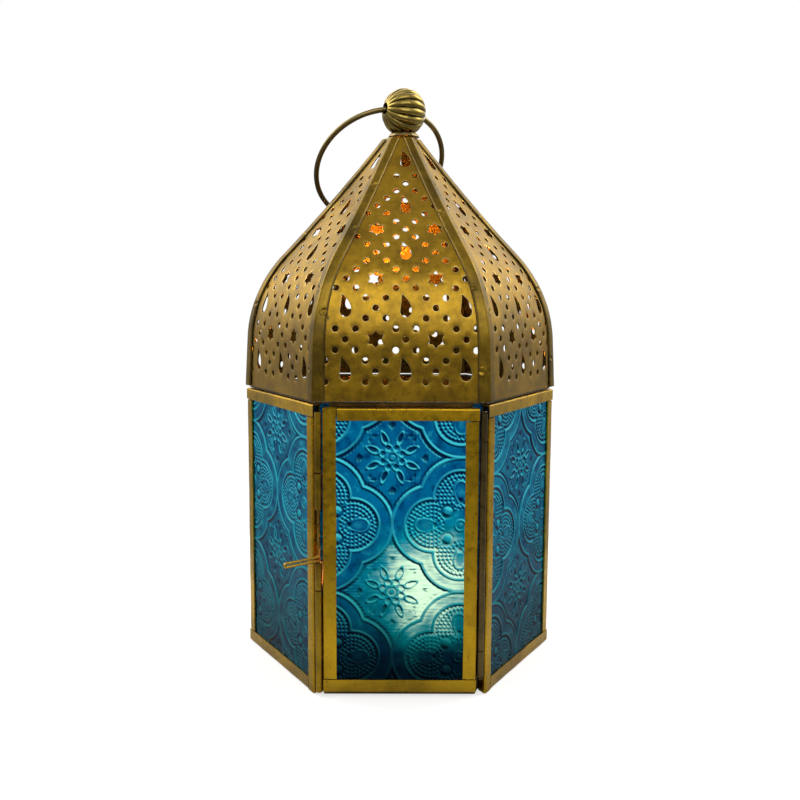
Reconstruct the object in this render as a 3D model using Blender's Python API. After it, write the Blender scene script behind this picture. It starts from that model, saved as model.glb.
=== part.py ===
"""Hexagonal brass candle lantern: glass panels in folded channel, a hinged door and a pierced dome.

Lengths below are millimetres; meshes are scaled to metres as they are made.
The frame has +Z up, its origin under the middle of the base, and the door facing -Y.
Every body panel is drawn as if it were at the front and then turned about Z by its side number.
"""
import math

import bmesh
import bpy
from mathutils import Matrix, Vector
from mathutils.geometry import delaunay_2d_cdt

MM = 0.001
GAP = 0.3                      # air left between pieces that touch

# Body
SIDES = 6
APOTHEM = 48.5                 # centre to the outer face of a panel
TAN30 = math.tan(math.radians(30))
COS30 = math.cos(math.radians(30))
HALF_SIDE = APOTHEM * TAN30    # half of a panel's outer width
MITRE_GAP = 0.5 * GAP / COS30
PANEL_TOP = 95.5
CHANNEL_DEPTH = 3.6
SHEET = 0.5                    # sheet brass
STILE_FACE = 4.3
TOP_FACE = 3.9
BOTTOM_FACE = 4.3
GLASS = 2.0
GLASS_HALF = 25.2

# Base plate and roof ring
PLATE = 0.6
RIM_HEIGHT = 5.0
RIM_APOTHEM = APOTHEM - CHANNEL_DEPTH - GAP
SILL_APOTHEM = APOTHEM - 0.2
SILL_HALF = 24.6
ROOF_BOTTOM = PANEL_TOP + GAP
ROOF_TOP = ROOF_BOTTOM + 0.5
ROOF_OUTER = 47.4              # apothems
ROOF_INNER = 40.5
STOP_FRONT = -45.0             # front face of the stop behind the door's top rail
STOP_HALF = 23.0
STOP_BOTTOM = 93.4

# Door
DOOR_HALF = 24.85
DOOR_PROUD = 1.5
DOOR_BOTTOM = 1.1
DOOR_TOP = 94.6
PIVOT_X = 26.3                 # hinge axis at +x, latch axis at -x
PIVOT_Y = -48.9
BARREL = 0.92                  # middle radius of a rolled tube
BARREL_SHEET = 0.4
TAB = 2.4                      # flat tail of a rolled tube
PIN = 0.62
PIN_HEAD = 1.05
HINGE_LOWER = (6.2, 15.0)
HINGE_UPPER = (84.0, 93.0)
LATCH_LOWER = (35.4, 44.2)
LATCH_UPPER = (61.8, 73.4)
KEEPER = (74.0, 93.3)
LATCH_FOOT = (1.0, 35.0)
LATCH_WIRE = 0.45
LATCH_HANDLE_Z = 45.55         # middle of the hairpin
LATCH_SPACING = 1.2            # between the hairpin's two wires
LATCH_REACH = 12.0
LATCH_HEADING = 217.0          # degrees, from +X

# Dome: apothem profile of straight skirt, shoulder arc and hollow flare
DOME_BOTTOM = 96.6
DOME_APOTHEM = 48.15
SKIRT_LENGTH = 17.0
SKIRT_LEAN = math.radians(2.4)
SHOULDER_RADIUS = 50.0
FLARE_LEAN = math.radians(39.5)
TIP_LEAN = math.radians(34.8)
SHOULDER_LENGTH = SHOULDER_RADIUS * (FLARE_LEAN - SKIRT_LEAN)
FLARE_LENGTH = 51.8
DOME_LENGTH = SKIRT_LENGTH + SHOULDER_LENGTH + FLARE_LENGTH
RIB_SHEET = 0.5
RIB_FLANGE = (3.7, 2.5)        # bottom and top
RIB_LENGTH = DOME_LENGTH - 1.0

# Pierced pattern on a gore: columns and rows of punch marks
PATTERN_SHIFT = 1.4
COLUMN = 3.18
ROW = 3.36
FIRST_ROW = 9.5                # row 0, from the skirt's edge
STAR = (3.15, 2.0)             # outer and inner radius
STAR_ROWS = (3, 9, 15)
TEARDROP_ROWS = (0, 6, 12, 18, 24)
SIDE_TEARDROP_ROWS = (0, 6)
TEARDROP_RISE = 0.8

# Finial
BEAD_CENTRE = Vector((0.8, 0.0, 193.6))
SEAT_RADIUS = 5.6
SEAT_BOTTOM = 184.9
BEAD_RADIUS = 8.3
BEAD_HALF = 7.7                # half length along its bore
BEAD_BORE = 2.0
FLUTES = 16
FLUTE_DEPTH = 0.5
BEAD_YAW = 27.0                # the bore's left end comes forward
BEAD_TILT = 6.0                # and up
RING_RADIUS = 24.0             # middle of the wire
RING_WIRE = 0.95
RING_OFFSET = 0.7              # wire's middle behind the bore's middle
RING_DROP = 139.2              # from straight up, falling backwards

# Tealight
CANDLE_X = -2.0
CUP_RADIUS = 19.0
CUP_HEIGHT = 15.5
CUP_WALL = 0.35
CANDLE_Z = PLATE + GAP
WAX_TOP = CANDLE_Z + 12.5
WICK_RADIUS = 0.8
WICK_TOP = CANDLE_Z + 17.0

BRASS = ((0.46, 0.33, 0.10), 0.38, 1.0)
DARK_BRASS = ((0.20, 0.14, 0.05), 0.45, 1.0)
GLASS_BLUE = ((0.01, 0.22, 0.38), 0.12, 0.0)
ALUMINIUM = ((0.75, 0.75, 0.76), 0.35, 1.0)
WAX = ((0.92, 0.90, 0.84), 0.5, 0.0)
WICK = ((0.10, 0.09, 0.08), 0.9, 0.0)


# ---------------------------------------------------------------- building

def finish(name, look):
    """A Principled material with the piece's own name, from a (colour, roughness, metallic) look."""
    colour, roughness, metallic = look
    material = bpy.data.materials.new(name)
    material.use_nodes = True
    shader = material.node_tree.nodes["Principled BSDF"]
    shader.inputs["Base Color"].default_value = (*colour, 1.0)
    shader.inputs["Roughness"].default_value = roughness
    shader.inputs["Metallic"].default_value = metallic
    return material


def piece(name, points, faces, look, turn=0, holder=None, smooth=None):
    """One closed piece from points in millimetres; a held piece is measured from its holder."""
    mesh = bpy.data.meshes.new(name)
    mesh.from_pydata([Vector(p) * MM for p in points], [], faces)
    if holder is not None:
        mesh.transform(Matrix.Translation(-holder.location))
    shape = bmesh.new()
    shape.from_mesh(mesh)
    bmesh.ops.recalc_face_normals(shape, faces=shape.faces)
    shape.to_mesh(mesh)
    shape.free()
    mesh.materials.append(finish(name, look))
    if smooth:
        mesh.shade_smooth()
        mesh.set_sharp_from_angle(angle=math.radians(smooth))
    thing = bpy.data.objects.new(name, mesh)
    bpy.context.collection.objects.link(thing)
    thing.rotation_euler.z = math.radians(turn)
    thing.parent = holder
    return thing


def empty(name, place, rotation=None):
    """A holder with its origin on a joint's axis."""
    thing = bpy.data.objects.new(name, None)
    thing.location = Vector(place) * MM
    if rotation is not None:
        thing.rotation_euler = rotation.to_euler()
    bpy.context.collection.objects.link(thing)
    return thing


def prism(near, far):
    """Points and faces of a prism between two outlines with the same number of points."""
    n = len(near)
    sides = [(i, (i + 1) % n, n + (i + 1) % n, n + i) for i in range(n)]
    return list(near) + list(far), sides + [tuple(range(n)), tuple(range(2 * n - 1, n - 1, -1))]


def rings_to_faces(count, size, closed):
    """Quads between neighbouring rings of points; open stacks get flat ends."""
    faces = []
    for k in range(count if closed else count - 1):
        a = k * size
        b = ((k + 1) % count) * size
        for i in range(size):
            j = (i + 1) % size
            faces.append((a + i, a + j, b + j, b + i))
    if not closed:
        faces.append(tuple(range(size)))
        faces.append(tuple(range(count * size - 1, (count - 1) * size - 1, -1)))
    return faces


def turned(profile, segments, radius_factor=None):
    """A profile of (radius, height) turned about Z; points on the axis close it at the ends."""
    closed = profile[0][0] > 0
    body = profile if closed else profile[1:-1]
    points = []
    for k in range(segments):
        angle = 2 * math.pi * k / segments
        for radius, height in body:
            if radius_factor:
                radius *= radius_factor(angle, radius)
            points.append((radius * math.cos(angle), radius * math.sin(angle), height))
    size = len(body)
    faces = []
    for k in range(segments):
        a = k * size
        b = ((k + 1) % segments) * size
        for i in range(size if closed else size - 1):
            j = (i + 1) % size
            faces.append((a + i, b + i, b + j, a + j))
    if not closed:
        for row, (_, height) in ((0, profile[0]), (size - 1, profile[-1])):
            points.append((0.0, 0.0, height))
            pole = len(points) - 1
            faces += [(pole, k * size + row, ((k + 1) % segments) * size + row) for k in range(segments)]
    return points, faces


def wire(path, radius, sides=8, closed=False):
    """A round wire along a path, its section carried along without twisting."""
    count = len(path)
    path = [Vector(p) for p in path]
    tangents = []
    for k in range(count):
        before = path[k - 1] if closed or k else path[k]
        after = path[(k + 1) % count] if closed or k < count - 1 else path[k]
        tangents.append((after - before).normalized())
    side = tangents[0].orthogonal().normalized()
    points = []
    for k in range(count):
        side = (side - tangents[k] * side.dot(tangents[k])).normalized()
        across = tangents[k].cross(side)
        for i in range(sides):
            angle = 2 * math.pi * i / sides
            points.append(path[k] + radius * (math.cos(angle) * side + math.sin(angle) * across))
    return points, rings_to_faces(count, sides, closed)


def rounded(path, radius, steps):
    """A path in any dimension with each inner corner turned into an arc of the given radius."""
    out = [Vector(path[0])]
    for before, corner, after in zip(path, path[1:], path[2:]):
        before, corner, after = Vector(before), Vector(corner), Vector(after)
        to_a = (before - corner).normalized()
        to_b = (after - corner).normalized()
        half = to_a.angle(to_b) / 2
        reach = radius / math.tan(half)
        centre = corner + (to_a + to_b).normalized() * radius / math.sin(half)
        start = (corner + to_a * reach - centre).normalized()
        end = (corner + to_b * reach - centre).normalized()
        for k in range(steps + 1):
            out.append(centre + start.slerp(end, k / steps) * radius)
    out.append(Vector(path[-1]))
    return out


def folded(path, thickness):
    """Outline of a sheet of even thickness whose middle follows a flat path."""
    left, right = [], []
    count = len(path)
    for k in range(count):
        into = (path[k] - path[k - 1]).normalized() if k else (path[1] - path[0]).normalized()
        out = (path[k + 1] - path[k]).normalized() if k < count - 1 else into
        normal = Vector((-into.y - out.y, into.x + out.x)).normalized()
        reach = 0.5 * thickness / max(0.3, normal.dot(Vector((-into.y, into.x))))
        left.append(path[k] + normal * reach)
        right.append(path[k] - normal * reach)
    return left + right[::-1]


# ---------------------------------------------------------------- channel frames

def edge_at(depth):
    """Half width of a panel at a depth behind its outer face, less the mitre gap."""
    return HALF_SIDE - MITRE_GAP - depth * TAN30


def channel_outline(inner, edge_front, edge_back):
    """U section in (across, depth), its web from the front edge to the back edge, its legs inwards."""
    back = CHANNEL_DEPTH - SHEET / 2
    path = [(inner, SHEET / 2), (edge_front, SHEET / 2), (edge_back, back), (inner, back)]
    return folded(rounded([Vector(p) for p in path], 0.32, 3), SHEET)


def panel_stile(name, side, sign, bottom, top):
    """Upright channel at one end of a fixed panel, mitred to its neighbour."""
    web = SHEET / 2 / COS30
    inner = edge_at(0) - STILE_FACE
    outline = channel_outline(inner, edge_at(SHEET / 2) - web, edge_at(CHANNEL_DEPTH - SHEET / 2) - web)
    ends = [[(sign * p.x, -APOTHEM + p.y, z) for p in outline] for z in (bottom, top)]
    return piece(name, *prism(*ends), BRASS, turn=60 * side, smooth=30)


def panel_rail(name, side, low, high, opens_up, left_stop):
    """Level channel of a fixed panel; its ends follow the mitre, or stop short of a stile."""
    web = high - low - SHEET / 2
    outline = channel_outline(0.0, web, web)
    ends = []
    for sign in (-1, 1):
        ring = []
        for p in outline:
            across = sign * edge_at(p.y)
            if left_stop is not None and sign == left_stop[0]:
                across = left_stop[1]
            height = high - p.x if opens_up else low + p.x
            ring.append((across, -APOTHEM + p.y, height))
        ends.append(ring)
    return piece(name, *prism(*ends), BRASS, turn=60 * side, smooth=30)


def pane(name, half, bottom, top, front, turn=0, holder=None):
    """Flat glass with slightly eased edges."""
    ease = 0.25
    outline = [(-half + ease, 0), (half - ease, 0), (half, ease), (half, GLASS - ease),
               (half - ease, GLASS), (-half + ease, GLASS), (-half, GLASS - ease), (-half, ease)]
    ends = [[(x, front + y, z) for x, y in outline] for z in (bottom, top)]
    return piece(name, *prism(*ends), GLASS_BLUE, turn=turn, holder=holder)


def fixed_panel(label, side, full_stile):
    """Four channels and a pane. The full stile runs to the floor and the other stands on the rail."""
    under_top = PANEL_TOP - TOP_FACE - GAP
    over_bottom = BOTTOM_FACE + GAP
    inner = full_stile * (edge_at(0) - STILE_FACE - GAP)
    panel_stile(f"{label}_long_stile", side, full_stile, 0.0, under_top)
    panel_stile(f"{label}_short_stile", side, -full_stile, over_bottom, under_top)
    panel_rail(f"{label}_top_rail", side, PANEL_TOP - TOP_FACE, PANEL_TOP, False, None)
    panel_rail(f"{label}_bottom_rail", side, 0.0, BOTTOM_FACE, True, (full_stile, inner))
    glass_bottom = SHEET + GAP + 0.1
    glass_top = PANEL_TOP - SHEET - GAP - 0.1
    front = -APOTHEM + (CHANNEL_DEPTH - GLASS) / 2
    pane(f"{label}_glass", GLASS_HALF, glass_bottom, glass_top, front, turn=60 * side)


def door_channel(name, holder, start, end, upright, edge, sign, face=STILE_FACE):
    """Square channel of the door; the web lies at edge and the legs point towards -sign."""
    outline = channel_outline(0.0, face - SHEET / 2, face - SHEET / 2)
    front = -APOTHEM - DOOR_PROUD
    ends = []
    for along in (start, end):
        ring = []
        for p in outline:
            across = edge - sign * (face - p.x)
            ring.append((across, front + p.y, along) if upright else (along, front + p.y, across))
        ends.append(ring)
    return piece(name, *prism(*ends), BRASS, holder=holder, smooth=30)


def rolled_tube(name, x, low, high, on_door, holder=None):
    """Strip rolled round the axis at (x, PIVOT_Y); its flat tail lies on the door's side or the frame's."""
    centre = Vector((x, PIVOT_Y))
    tail = Vector((0, 1)) if on_door else Vector((-math.copysign(0.5, x), COS30))
    outward = Vector((-tail.y, tail.x))
    if (outward.x * x > 0) == on_door:
        outward = -outward
    path = [centre + outward * BARREL + tail * TAB]
    steps = 14
    for k in range(steps + 1):
        angle = math.radians(325) * k / steps
        path.append(centre + BARREL * (math.cos(angle) * outward - math.sin(angle) * tail))
    outline = folded(path, BARREL_SHEET)
    ends = [[(p.x, p.y, z) for p in outline] for z in (low, high)]
    return piece(name, *prism(*ends), BRASS, holder=holder, smooth=40)


# ---------------------------------------------------------------- body

def hexagon(apothem, z):
    """Corners of a level hexagon with a flat side at -Y."""
    bearings = [math.radians(60 * k - 30) for k in range(SIDES)]
    return [(apothem / COS30 * math.sin(b), -apothem / COS30 * math.cos(b), z) for b in bearings]


def base_plate():
    """Hexagonal tray with a turned-up rim, its floor run out under the door as a sill."""
    shape = bmesh.new()
    levels = [(RIM_APOTHEM, 0.0), (RIM_APOTHEM, PLATE), (RIM_APOTHEM, RIM_HEIGHT),
              (RIM_APOTHEM - PLATE, RIM_HEIGHT), (RIM_APOTHEM - PLATE, PLATE)]
    rings = [[shape.verts.new(corner) for corner in hexagon(*level)] for level in levels]
    shape.faces.new(rings[0])
    shape.faces.new(rings[-1])
    front = None
    for low, high in zip(rings, rings[1:]):
        for k in range(SIDES):
            face = shape.faces.new((low[k], low[(k + 1) % SIDES], high[(k + 1) % SIDES], high[k]))
            if low is rings[0] and k == 0:
                front = face
    pushed = bmesh.ops.extrude_discrete_faces(shape, faces=[front])["faces"][0]
    for vert in pushed.verts:
        vert.co = Vector((math.copysign(SILL_HALF, vert.co.x), -SILL_APOTHEM, vert.co.z))
    mesh = bpy.data.meshes.new("sill")
    shape.to_mesh(mesh)
    shape.free()
    faces = [tuple(p.vertices) for p in mesh.polygons]
    piece("base_plate", [v.co for v in mesh.vertices], faces, DARK_BRASS)
    bpy.data.meshes.remove(mesh)


def roof_ring():
    """Flat hexagonal ring between the panels and the dome, with a stop folded down behind the door."""
    shape = bmesh.new()
    levels = ((ROOF_OUTER, ROOF_BOTTOM), (ROOF_OUTER, ROOF_TOP), (ROOF_INNER, ROOF_TOP),
              (ROOF_INNER, ROOF_BOTTOM))
    rings = [[shape.verts.new(corner) for corner in hexagon(*level)] for level in levels]
    underside = []
    for low, high in zip(rings, rings[1:] + rings[:1]):
        for k in range(SIDES):
            underside.append(shape.faces.new((low[k], low[(k + 1) % SIDES], high[(k + 1) % SIDES], high[k])))
    front = underside[-SIDES]
    bmesh.ops.inset_individual(shape, faces=[front], thickness=1.0)
    for vert in front.verts:
        depth = STOP_FRONT if vert.co.y < -0.5 * (ROOF_OUTER + ROOF_INNER) else STOP_FRONT + SHEET
        vert.co = Vector((math.copysign(STOP_HALF, vert.co.x), depth, ROOF_BOTTOM))
    stop = bmesh.ops.extrude_discrete_faces(shape, faces=[front])["faces"][0]
    for vert in stop.verts:
        vert.co.z = STOP_BOTTOM
    mesh = bpy.data.meshes.new("stop")
    shape.to_mesh(mesh)
    shape.free()
    faces = [tuple(p.vertices) for p in mesh.polygons]
    piece("roof_ring", [v.co for v in mesh.vertices], faces, DARK_BRASS)
    bpy.data.meshes.remove(mesh)


def body():
    """Base, roof ring and the five fixed panels."""
    base_plate()
    roof_ring()
    for side, label, full_stile in ((1, "right_front", -1), (2, "right_back", -1), (3, "back", 1),
                                    (4, "left_back", 1), (5, "left_front", 1)):
        fixed_panel(label, side, full_stile)


# ---------------------------------------------------------------- door and latch

def door():
    """Door on its hinge pin, with knuckles for the pin on the right and for the latch on the left."""
    pivot = empty("door_pivot", (PIVOT_X, PIVOT_Y, 0.0))
    over_bottom = DOOR_BOTTOM + BOTTOM_FACE + GAP
    under_top = DOOR_TOP - TOP_FACE - GAP
    left_inner = -DOOR_HALF + STILE_FACE + GAP
    door_channel("door_latch_stile", pivot, over_bottom, DOOR_TOP, True, -DOOR_HALF, -1)
    door_channel("door_hinge_stile", pivot, over_bottom, under_top, True, DOOR_HALF, 1)
    door_channel("door_top_rail", pivot, left_inner, DOOR_HALF, False, DOOR_TOP, 1, TOP_FACE)
    door_channel("door_bottom_rail", pivot, -DOOR_HALF, DOOR_HALF, False, DOOR_BOTTOM, -1, BOTTOM_FACE)
    edge = SHEET + GAP + 0.05
    front = -APOTHEM - DOOR_PROUD + (CHANNEL_DEPTH - GLASS) / 2
    pane("door_glass", DOOR_HALF - edge, DOOR_BOTTOM + edge, DOOR_TOP - edge, front, holder=pivot)
    for name, x, span in (("door_lower_hinge_knuckle", PIVOT_X, HINGE_LOWER),
                          ("door_upper_hinge_knuckle", PIVOT_X, HINGE_UPPER),
                          ("door_lower_latch_knuckle", -PIVOT_X, LATCH_LOWER),
                          ("door_upper_latch_knuckle", -PIVOT_X, LATCH_UPPER)):
        rolled_tube(name, x, *span, True, holder=pivot)


def frame_tubes():
    """Rolled tubes on the two front corners: the hinge's middle barrel, and the latch's keeper and foot."""
    barrel = (HINGE_LOWER[1] + GAP, HINGE_UPPER[0] - GAP)
    rolled_tube("hinge_barrel", PIVOT_X, *barrel, False)
    rolled_tube("latch_keeper", -PIVOT_X, *KEEPER, False)
    rolled_tube("latch_foot_tube", -PIVOT_X, *LATCH_FOOT, False)


def hinge_pin():
    """Plain pin with its two ends peened over the outer knuckles."""
    low = HINGE_LOWER[0] - GAP
    high = HINGE_UPPER[1] + GAP
    profile = [(0, low - 0.5), (PIN_HEAD - 0.2, low - 0.5), (PIN_HEAD, low - 0.3), (PIN_HEAD, low),
               (PIN, low), (PIN, high), (PIN_HEAD, high), (PIN_HEAD, high + 0.3),
               (PIN_HEAD - 0.2, high + 0.5), (0, high + 0.5)]
    points, faces = turned(profile, 16)
    piece("hinge_pin", [(x + PIVOT_X, y + PIVOT_Y, z) for x, y, z in points], faces, DARK_BRASS, smooth=30)


def latch_bolt():
    """One wire: a leg up, a hairpin handle out to the side, and a leg down."""
    heading = math.radians(LATCH_HEADING)
    out = Vector((math.cos(heading), math.sin(heading), 0))
    axis = Vector((-PIVOT_X, PIVOT_Y, 0))
    upper = LATCH_HANDLE_Z + LATCH_SPACING / 2
    lower = LATCH_HANDLE_Z - LATCH_SPACING / 2
    up = Vector((0, 0, 1))
    above = [axis + up * (LATCH_UPPER[1] - 0.6), axis + up * upper, axis + up * upper + out * LATCH_REACH]
    below = [axis + up * lower + out * LATCH_REACH, axis + up * lower, axis + up * (LATCH_LOWER[0] + 0.4)]
    turn = []
    tip = axis + up * LATCH_HANDLE_Z + out * LATCH_REACH
    for k in range(1, 6):
        angle = math.pi * k / 6
        turn.append(tip + 0.5 * LATCH_SPACING * (math.cos(angle) * up + math.sin(angle) * out))
    path = rounded(above, 0.9, 4) + turn + rounded(below, 0.55, 4)
    holder = empty("latch_slide", axis)
    piece("latch_bolt", *wire(path, LATCH_WIRE), DARK_BRASS, holder=holder, smooth=40)


# ---------------------------------------------------------------- dome

def dome_point(s):
    """Apothem, height and lean from vertical at a distance s up the outside of a gore."""
    apothem, z = DOME_APOTHEM, DOME_BOTTOM
    step = min(s, SKIRT_LENGTH)
    apothem -= step * math.sin(SKIRT_LEAN)
    z += step * math.cos(SKIRT_LEAN)
    lean = SKIRT_LEAN
    for length, end_lean in ((SHOULDER_LENGTH, FLARE_LEAN), (FLARE_LENGTH, TIP_LEAN)):
        start = SKIRT_LENGTH if end_lean == FLARE_LEAN else SKIRT_LENGTH + SHOULDER_LENGTH
        step = min(max(s - start, 0.0), length)
        radius = length / (end_lean - lean)
        turn = lean + step / radius
        apothem -= radius * (math.cos(lean) - math.cos(turn))
        z += radius * (math.sin(turn) - math.sin(lean))
        if s <= start + length:
            return apothem, z, turn
        lean = end_lean
    return apothem, z, lean


def dome_rows(length):
    """Distances up a gore at which the sheet is bent."""
    rows = [0.0] + [SKIRT_LENGTH + SHOULDER_LENGTH * k / 5 for k in range(6)]
    rows += [SKIRT_LENGTH + SHOULDER_LENGTH + FLARE_LENGTH * k / 3 for k in (1, 2)]
    return rows + [length]


def skin_point(rows, s, inset):
    """Point (apothem, height) on the bent sheet, inset along its normal, straight between the rows."""
    k = max(i for i in range(len(rows) - 1) if rows[i] <= s or i == 0)
    part = (s - rows[k]) / (rows[k + 1] - rows[k])
    ends = []
    for row in (rows[k], rows[k + 1]):
        apothem, z, lean = dome_point(row)
        ends.append(Vector((apothem - inset * math.cos(lean), z - inset * math.sin(lean))))
    return ends[0].lerp(ends[1], part)


def star(u, s):
    """Six-point star with a point straight up."""
    outline = []
    for k in range(12):
        radius = STAR[k % 2]
        angle = math.pi * k / 6
        outline.append((u + radius * math.sin(angle), s + radius * math.cos(angle)))
    return outline


def teardrop(u, s):
    """Leaf with its tip at the top left, an almost straight left side and a round bulb below."""
    bulb, low = 2.0, -1.8
    outline = [(u - 1.5, s + 4.1), (u - 1.6, s + 0.4)]
    for k in range(6):
        angle = math.pi * k / 5
        outline.append((u - bulb * math.cos(angle), s + low - 1.1 * bulb * math.sin(angle)))
    return outline + [(u + 1.75, s + 0.6), (u + 1.0, s + 2.6)]


def gore_holes():
    """Stars and teardrops of one gore, in (across, up) on the flat sheet."""
    holes = [star(PATTERN_SHIFT + COLUMN * m, FIRST_ROW + ROW * q) for q in STAR_ROWS for m in (-3, 3)]
    holes += [teardrop(PATTERN_SHIFT, FIRST_ROW + ROW * q + TEARDROP_RISE) for q in TEARDROP_ROWS]
    holes += [teardrop(PATTERN_SHIFT + COLUMN * m, FIRST_ROW + ROW * q + TEARDROP_RISE)
              for q in SIDE_TEARDROP_ROWS for m in (-6, 6)]
    return holes


def inside(point, outline):
    """Even-odd test of a point against a closed outline."""
    hit = False
    for (x0, y0), (x1, y1) in zip(outline, outline[1:] + outline[:1]):
        if (y0 > point[1]) != (y1 > point[1]):
            if point[0] < x0 + (point[1] - y0) * (x1 - x0) / (y1 - y0):
                hit = not hit
    return hit


def flat_gore(rows):
    """Triangles of the pierced sheet laid flat, with an edge along each bend."""
    half = [skin_point(rows, s, 0)[0] * TAN30 - MITRE_GAP for s in rows]
    points = [Vector((-h, s)) for h, s in zip(half, rows)] + [Vector((h, s)) for h, s in zip(half, rows)]
    count = len(rows)
    edges = [(k, k + 1) for k in range(count - 1)] + [(count + k, count + k + 1) for k in range(count - 1)]
    edges += [(k, count + k) for k in range(count)]
    holes = gore_holes()
    for outline in holes:
        first = len(points)
        points += [Vector(p) for p in outline]
        edges += [(first + k, first + (k + 1) % len(outline)) for k in range(len(outline))]
    flat, _, triangles, _, _, _ = delaunay_2d_cdt(points, edges, [], 0, 1e-5)
    boundary = [tuple(p) for p in points[:count]] + [tuple(p) for p in reversed(points[count:2 * count])]
    kept = []
    for triangle in triangles:
        middle = sum((flat[i] for i in triangle), Vector((0, 0))) / 3
        if inside(middle, boundary) and not any(inside(middle, outline) for outline in holes):
            kept.append(tuple(triangle))
    return flat, kept


def gore_mesh():
    """Outer and inner skins of a gore joined round its edge and round each hole."""
    rows = dome_rows(DOME_LENGTH)
    flat, triangles = flat_gore(rows)
    points = []
    for inset in (0.0, SHEET):
        for u, s in flat:
            outer = skin_point(rows, s, 0)
            skin = skin_point(rows, s, inset)
            u *= (skin[0] * TAN30 - MITRE_GAP) / (outer[0] * TAN30 - MITRE_GAP)
            points.append((u, -skin[0], skin[1]))
    size = len(flat)
    faces = list(triangles) + [tuple(size + i for i in reversed(t)) for t in triangles]
    uses = {}
    for t in triangles:
        for a, b in ((t[0], t[1]), (t[1], t[2]), (t[2], t[0])):
            uses[(a, b)] = True
    faces += [(b, a, size + a, size + b) for a, b in uses if (b, a) not in uses]
    return points, faces


def rib_mesh():
    """V-folded strip over the corner to the right of the front gore, clear of both gores by the gap."""
    rows = dome_rows(RIB_LENGTH)
    points = []
    for s in rows:
        apothem, _, lean = dome_point(s)
        width = RIB_FLANGE[0] + (RIB_FLANGE[1] - RIB_FLANGE[0]) * s / RIB_LENGTH
        width = min(width, apothem * TAN30 - 0.5)
        section = []
        for inset in (-GAP - RIB_SHEET, -GAP):
            skin = skin_point(rows, s, inset)
            flat = (skin[0] * TAN30 - width, -skin[0], skin[1])
            crease = (skin[0] * TAN30, -skin[0], skin[1])
            turn = Matrix.Rotation(math.radians(60), 3, "Z")
            mirrored = turn @ Vector((-flat[0], flat[1], flat[2]))
            section.append((flat, crease, tuple(mirrored)))
        points += [*section[0], *reversed(section[1])]
    return points, rings_to_faces(len(rows), 6, False)


def dome():
    """Six gores and the six ribs over their joints."""
    gore_points, gore_faces = gore_mesh()
    rib_points, rib_faces = rib_mesh()
    names = ("front", "right_front", "right_back", "back", "left_back", "left_front")
    for side, label in enumerate(names):
        piece(f"gore_{label}", gore_points, gore_faces, BRASS, turn=60 * side)
    corners = ("front_right", "right", "back_right", "back_left", "left", "front_left")
    for side, label in enumerate(corners):
        piece(f"rib_{label}", rib_points, rib_faces, BRASS, turn=60 * side, smooth=25)


# ---------------------------------------------------------------- finial

def finial_frame():
    """Rotation whose Z is the bead's bore and whose X points to the hanging ring's middle."""
    yaw, tilt, drop = (math.radians(a) for a in (BEAD_YAW, BEAD_TILT, RING_DROP))
    bore = Vector((-math.cos(yaw) * math.cos(tilt), -math.sin(yaw) * math.cos(tilt), math.sin(tilt)))
    up = (Vector((0, 0, 1)) - bore * bore.z).normalized()
    level = bore.cross(up)
    hang = up * math.cos(drop) + level * math.sin(drop)
    return Matrix((hang, bore.cross(hang), bore)).transposed()


def finial():
    """Solder seat, fluted bead with a cross bore, and the wire ring that swings in the bore."""
    clear = BEAD_RADIUS + GAP
    inner, upper = 3.0, 4.6
    seat = [(inner, BEAD_CENTRE.z - math.sqrt(clear ** 2 - inner ** 2)), (inner, SEAT_BOTTOM),
            (SEAT_RADIUS, SEAT_BOTTOM), (SEAT_RADIUS, SEAT_BOTTOM + 0.6),
            (upper, BEAD_CENTRE.z - math.sqrt(clear ** 2 - upper ** 2))]
    points, faces = turned(seat, 24)
    piece("finial_seat", [(x + BEAD_CENTRE.x, y, z) for x, y, z in points], faces, DARK_BRASS, smooth=30)

    holder = empty("finial_frame", BEAD_CENTRE, finial_frame())
    end_angle = math.asin(BEAD_BORE / BEAD_RADIUS)
    profile = []
    for k in range(11):
        angle = end_angle + (math.pi - 2 * end_angle) * k / 10
        profile.append((BEAD_RADIUS * math.sin(angle), BEAD_HALF * math.cos(angle)))

    def fluting(angle, radius):
        valley = 0.5 - 0.5 * math.cos(FLUTES * angle)
        depth = FLUTE_DEPTH * max(0.0, (radius - BEAD_BORE) / (BEAD_RADIUS - BEAD_BORE))
        return 1 - depth * valley / radius

    bead = piece("finial_bead", *turned(profile, 2 * FLUTES, fluting), BRASS, smooth=50)
    bead.parent = holder
    circle = []
    for k in range(48):
        angle = 2 * math.pi * k / 48
        across = RING_RADIUS - RING_OFFSET - RING_RADIUS * math.cos(angle)
        circle.append((across, 0, RING_RADIUS * math.sin(angle)))
    ring = piece("hanging_ring", *wire(circle, RING_WIRE, closed=True), DARK_BRASS, smooth=60)
    ring.parent = holder


# ---------------------------------------------------------------- tealight

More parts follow.
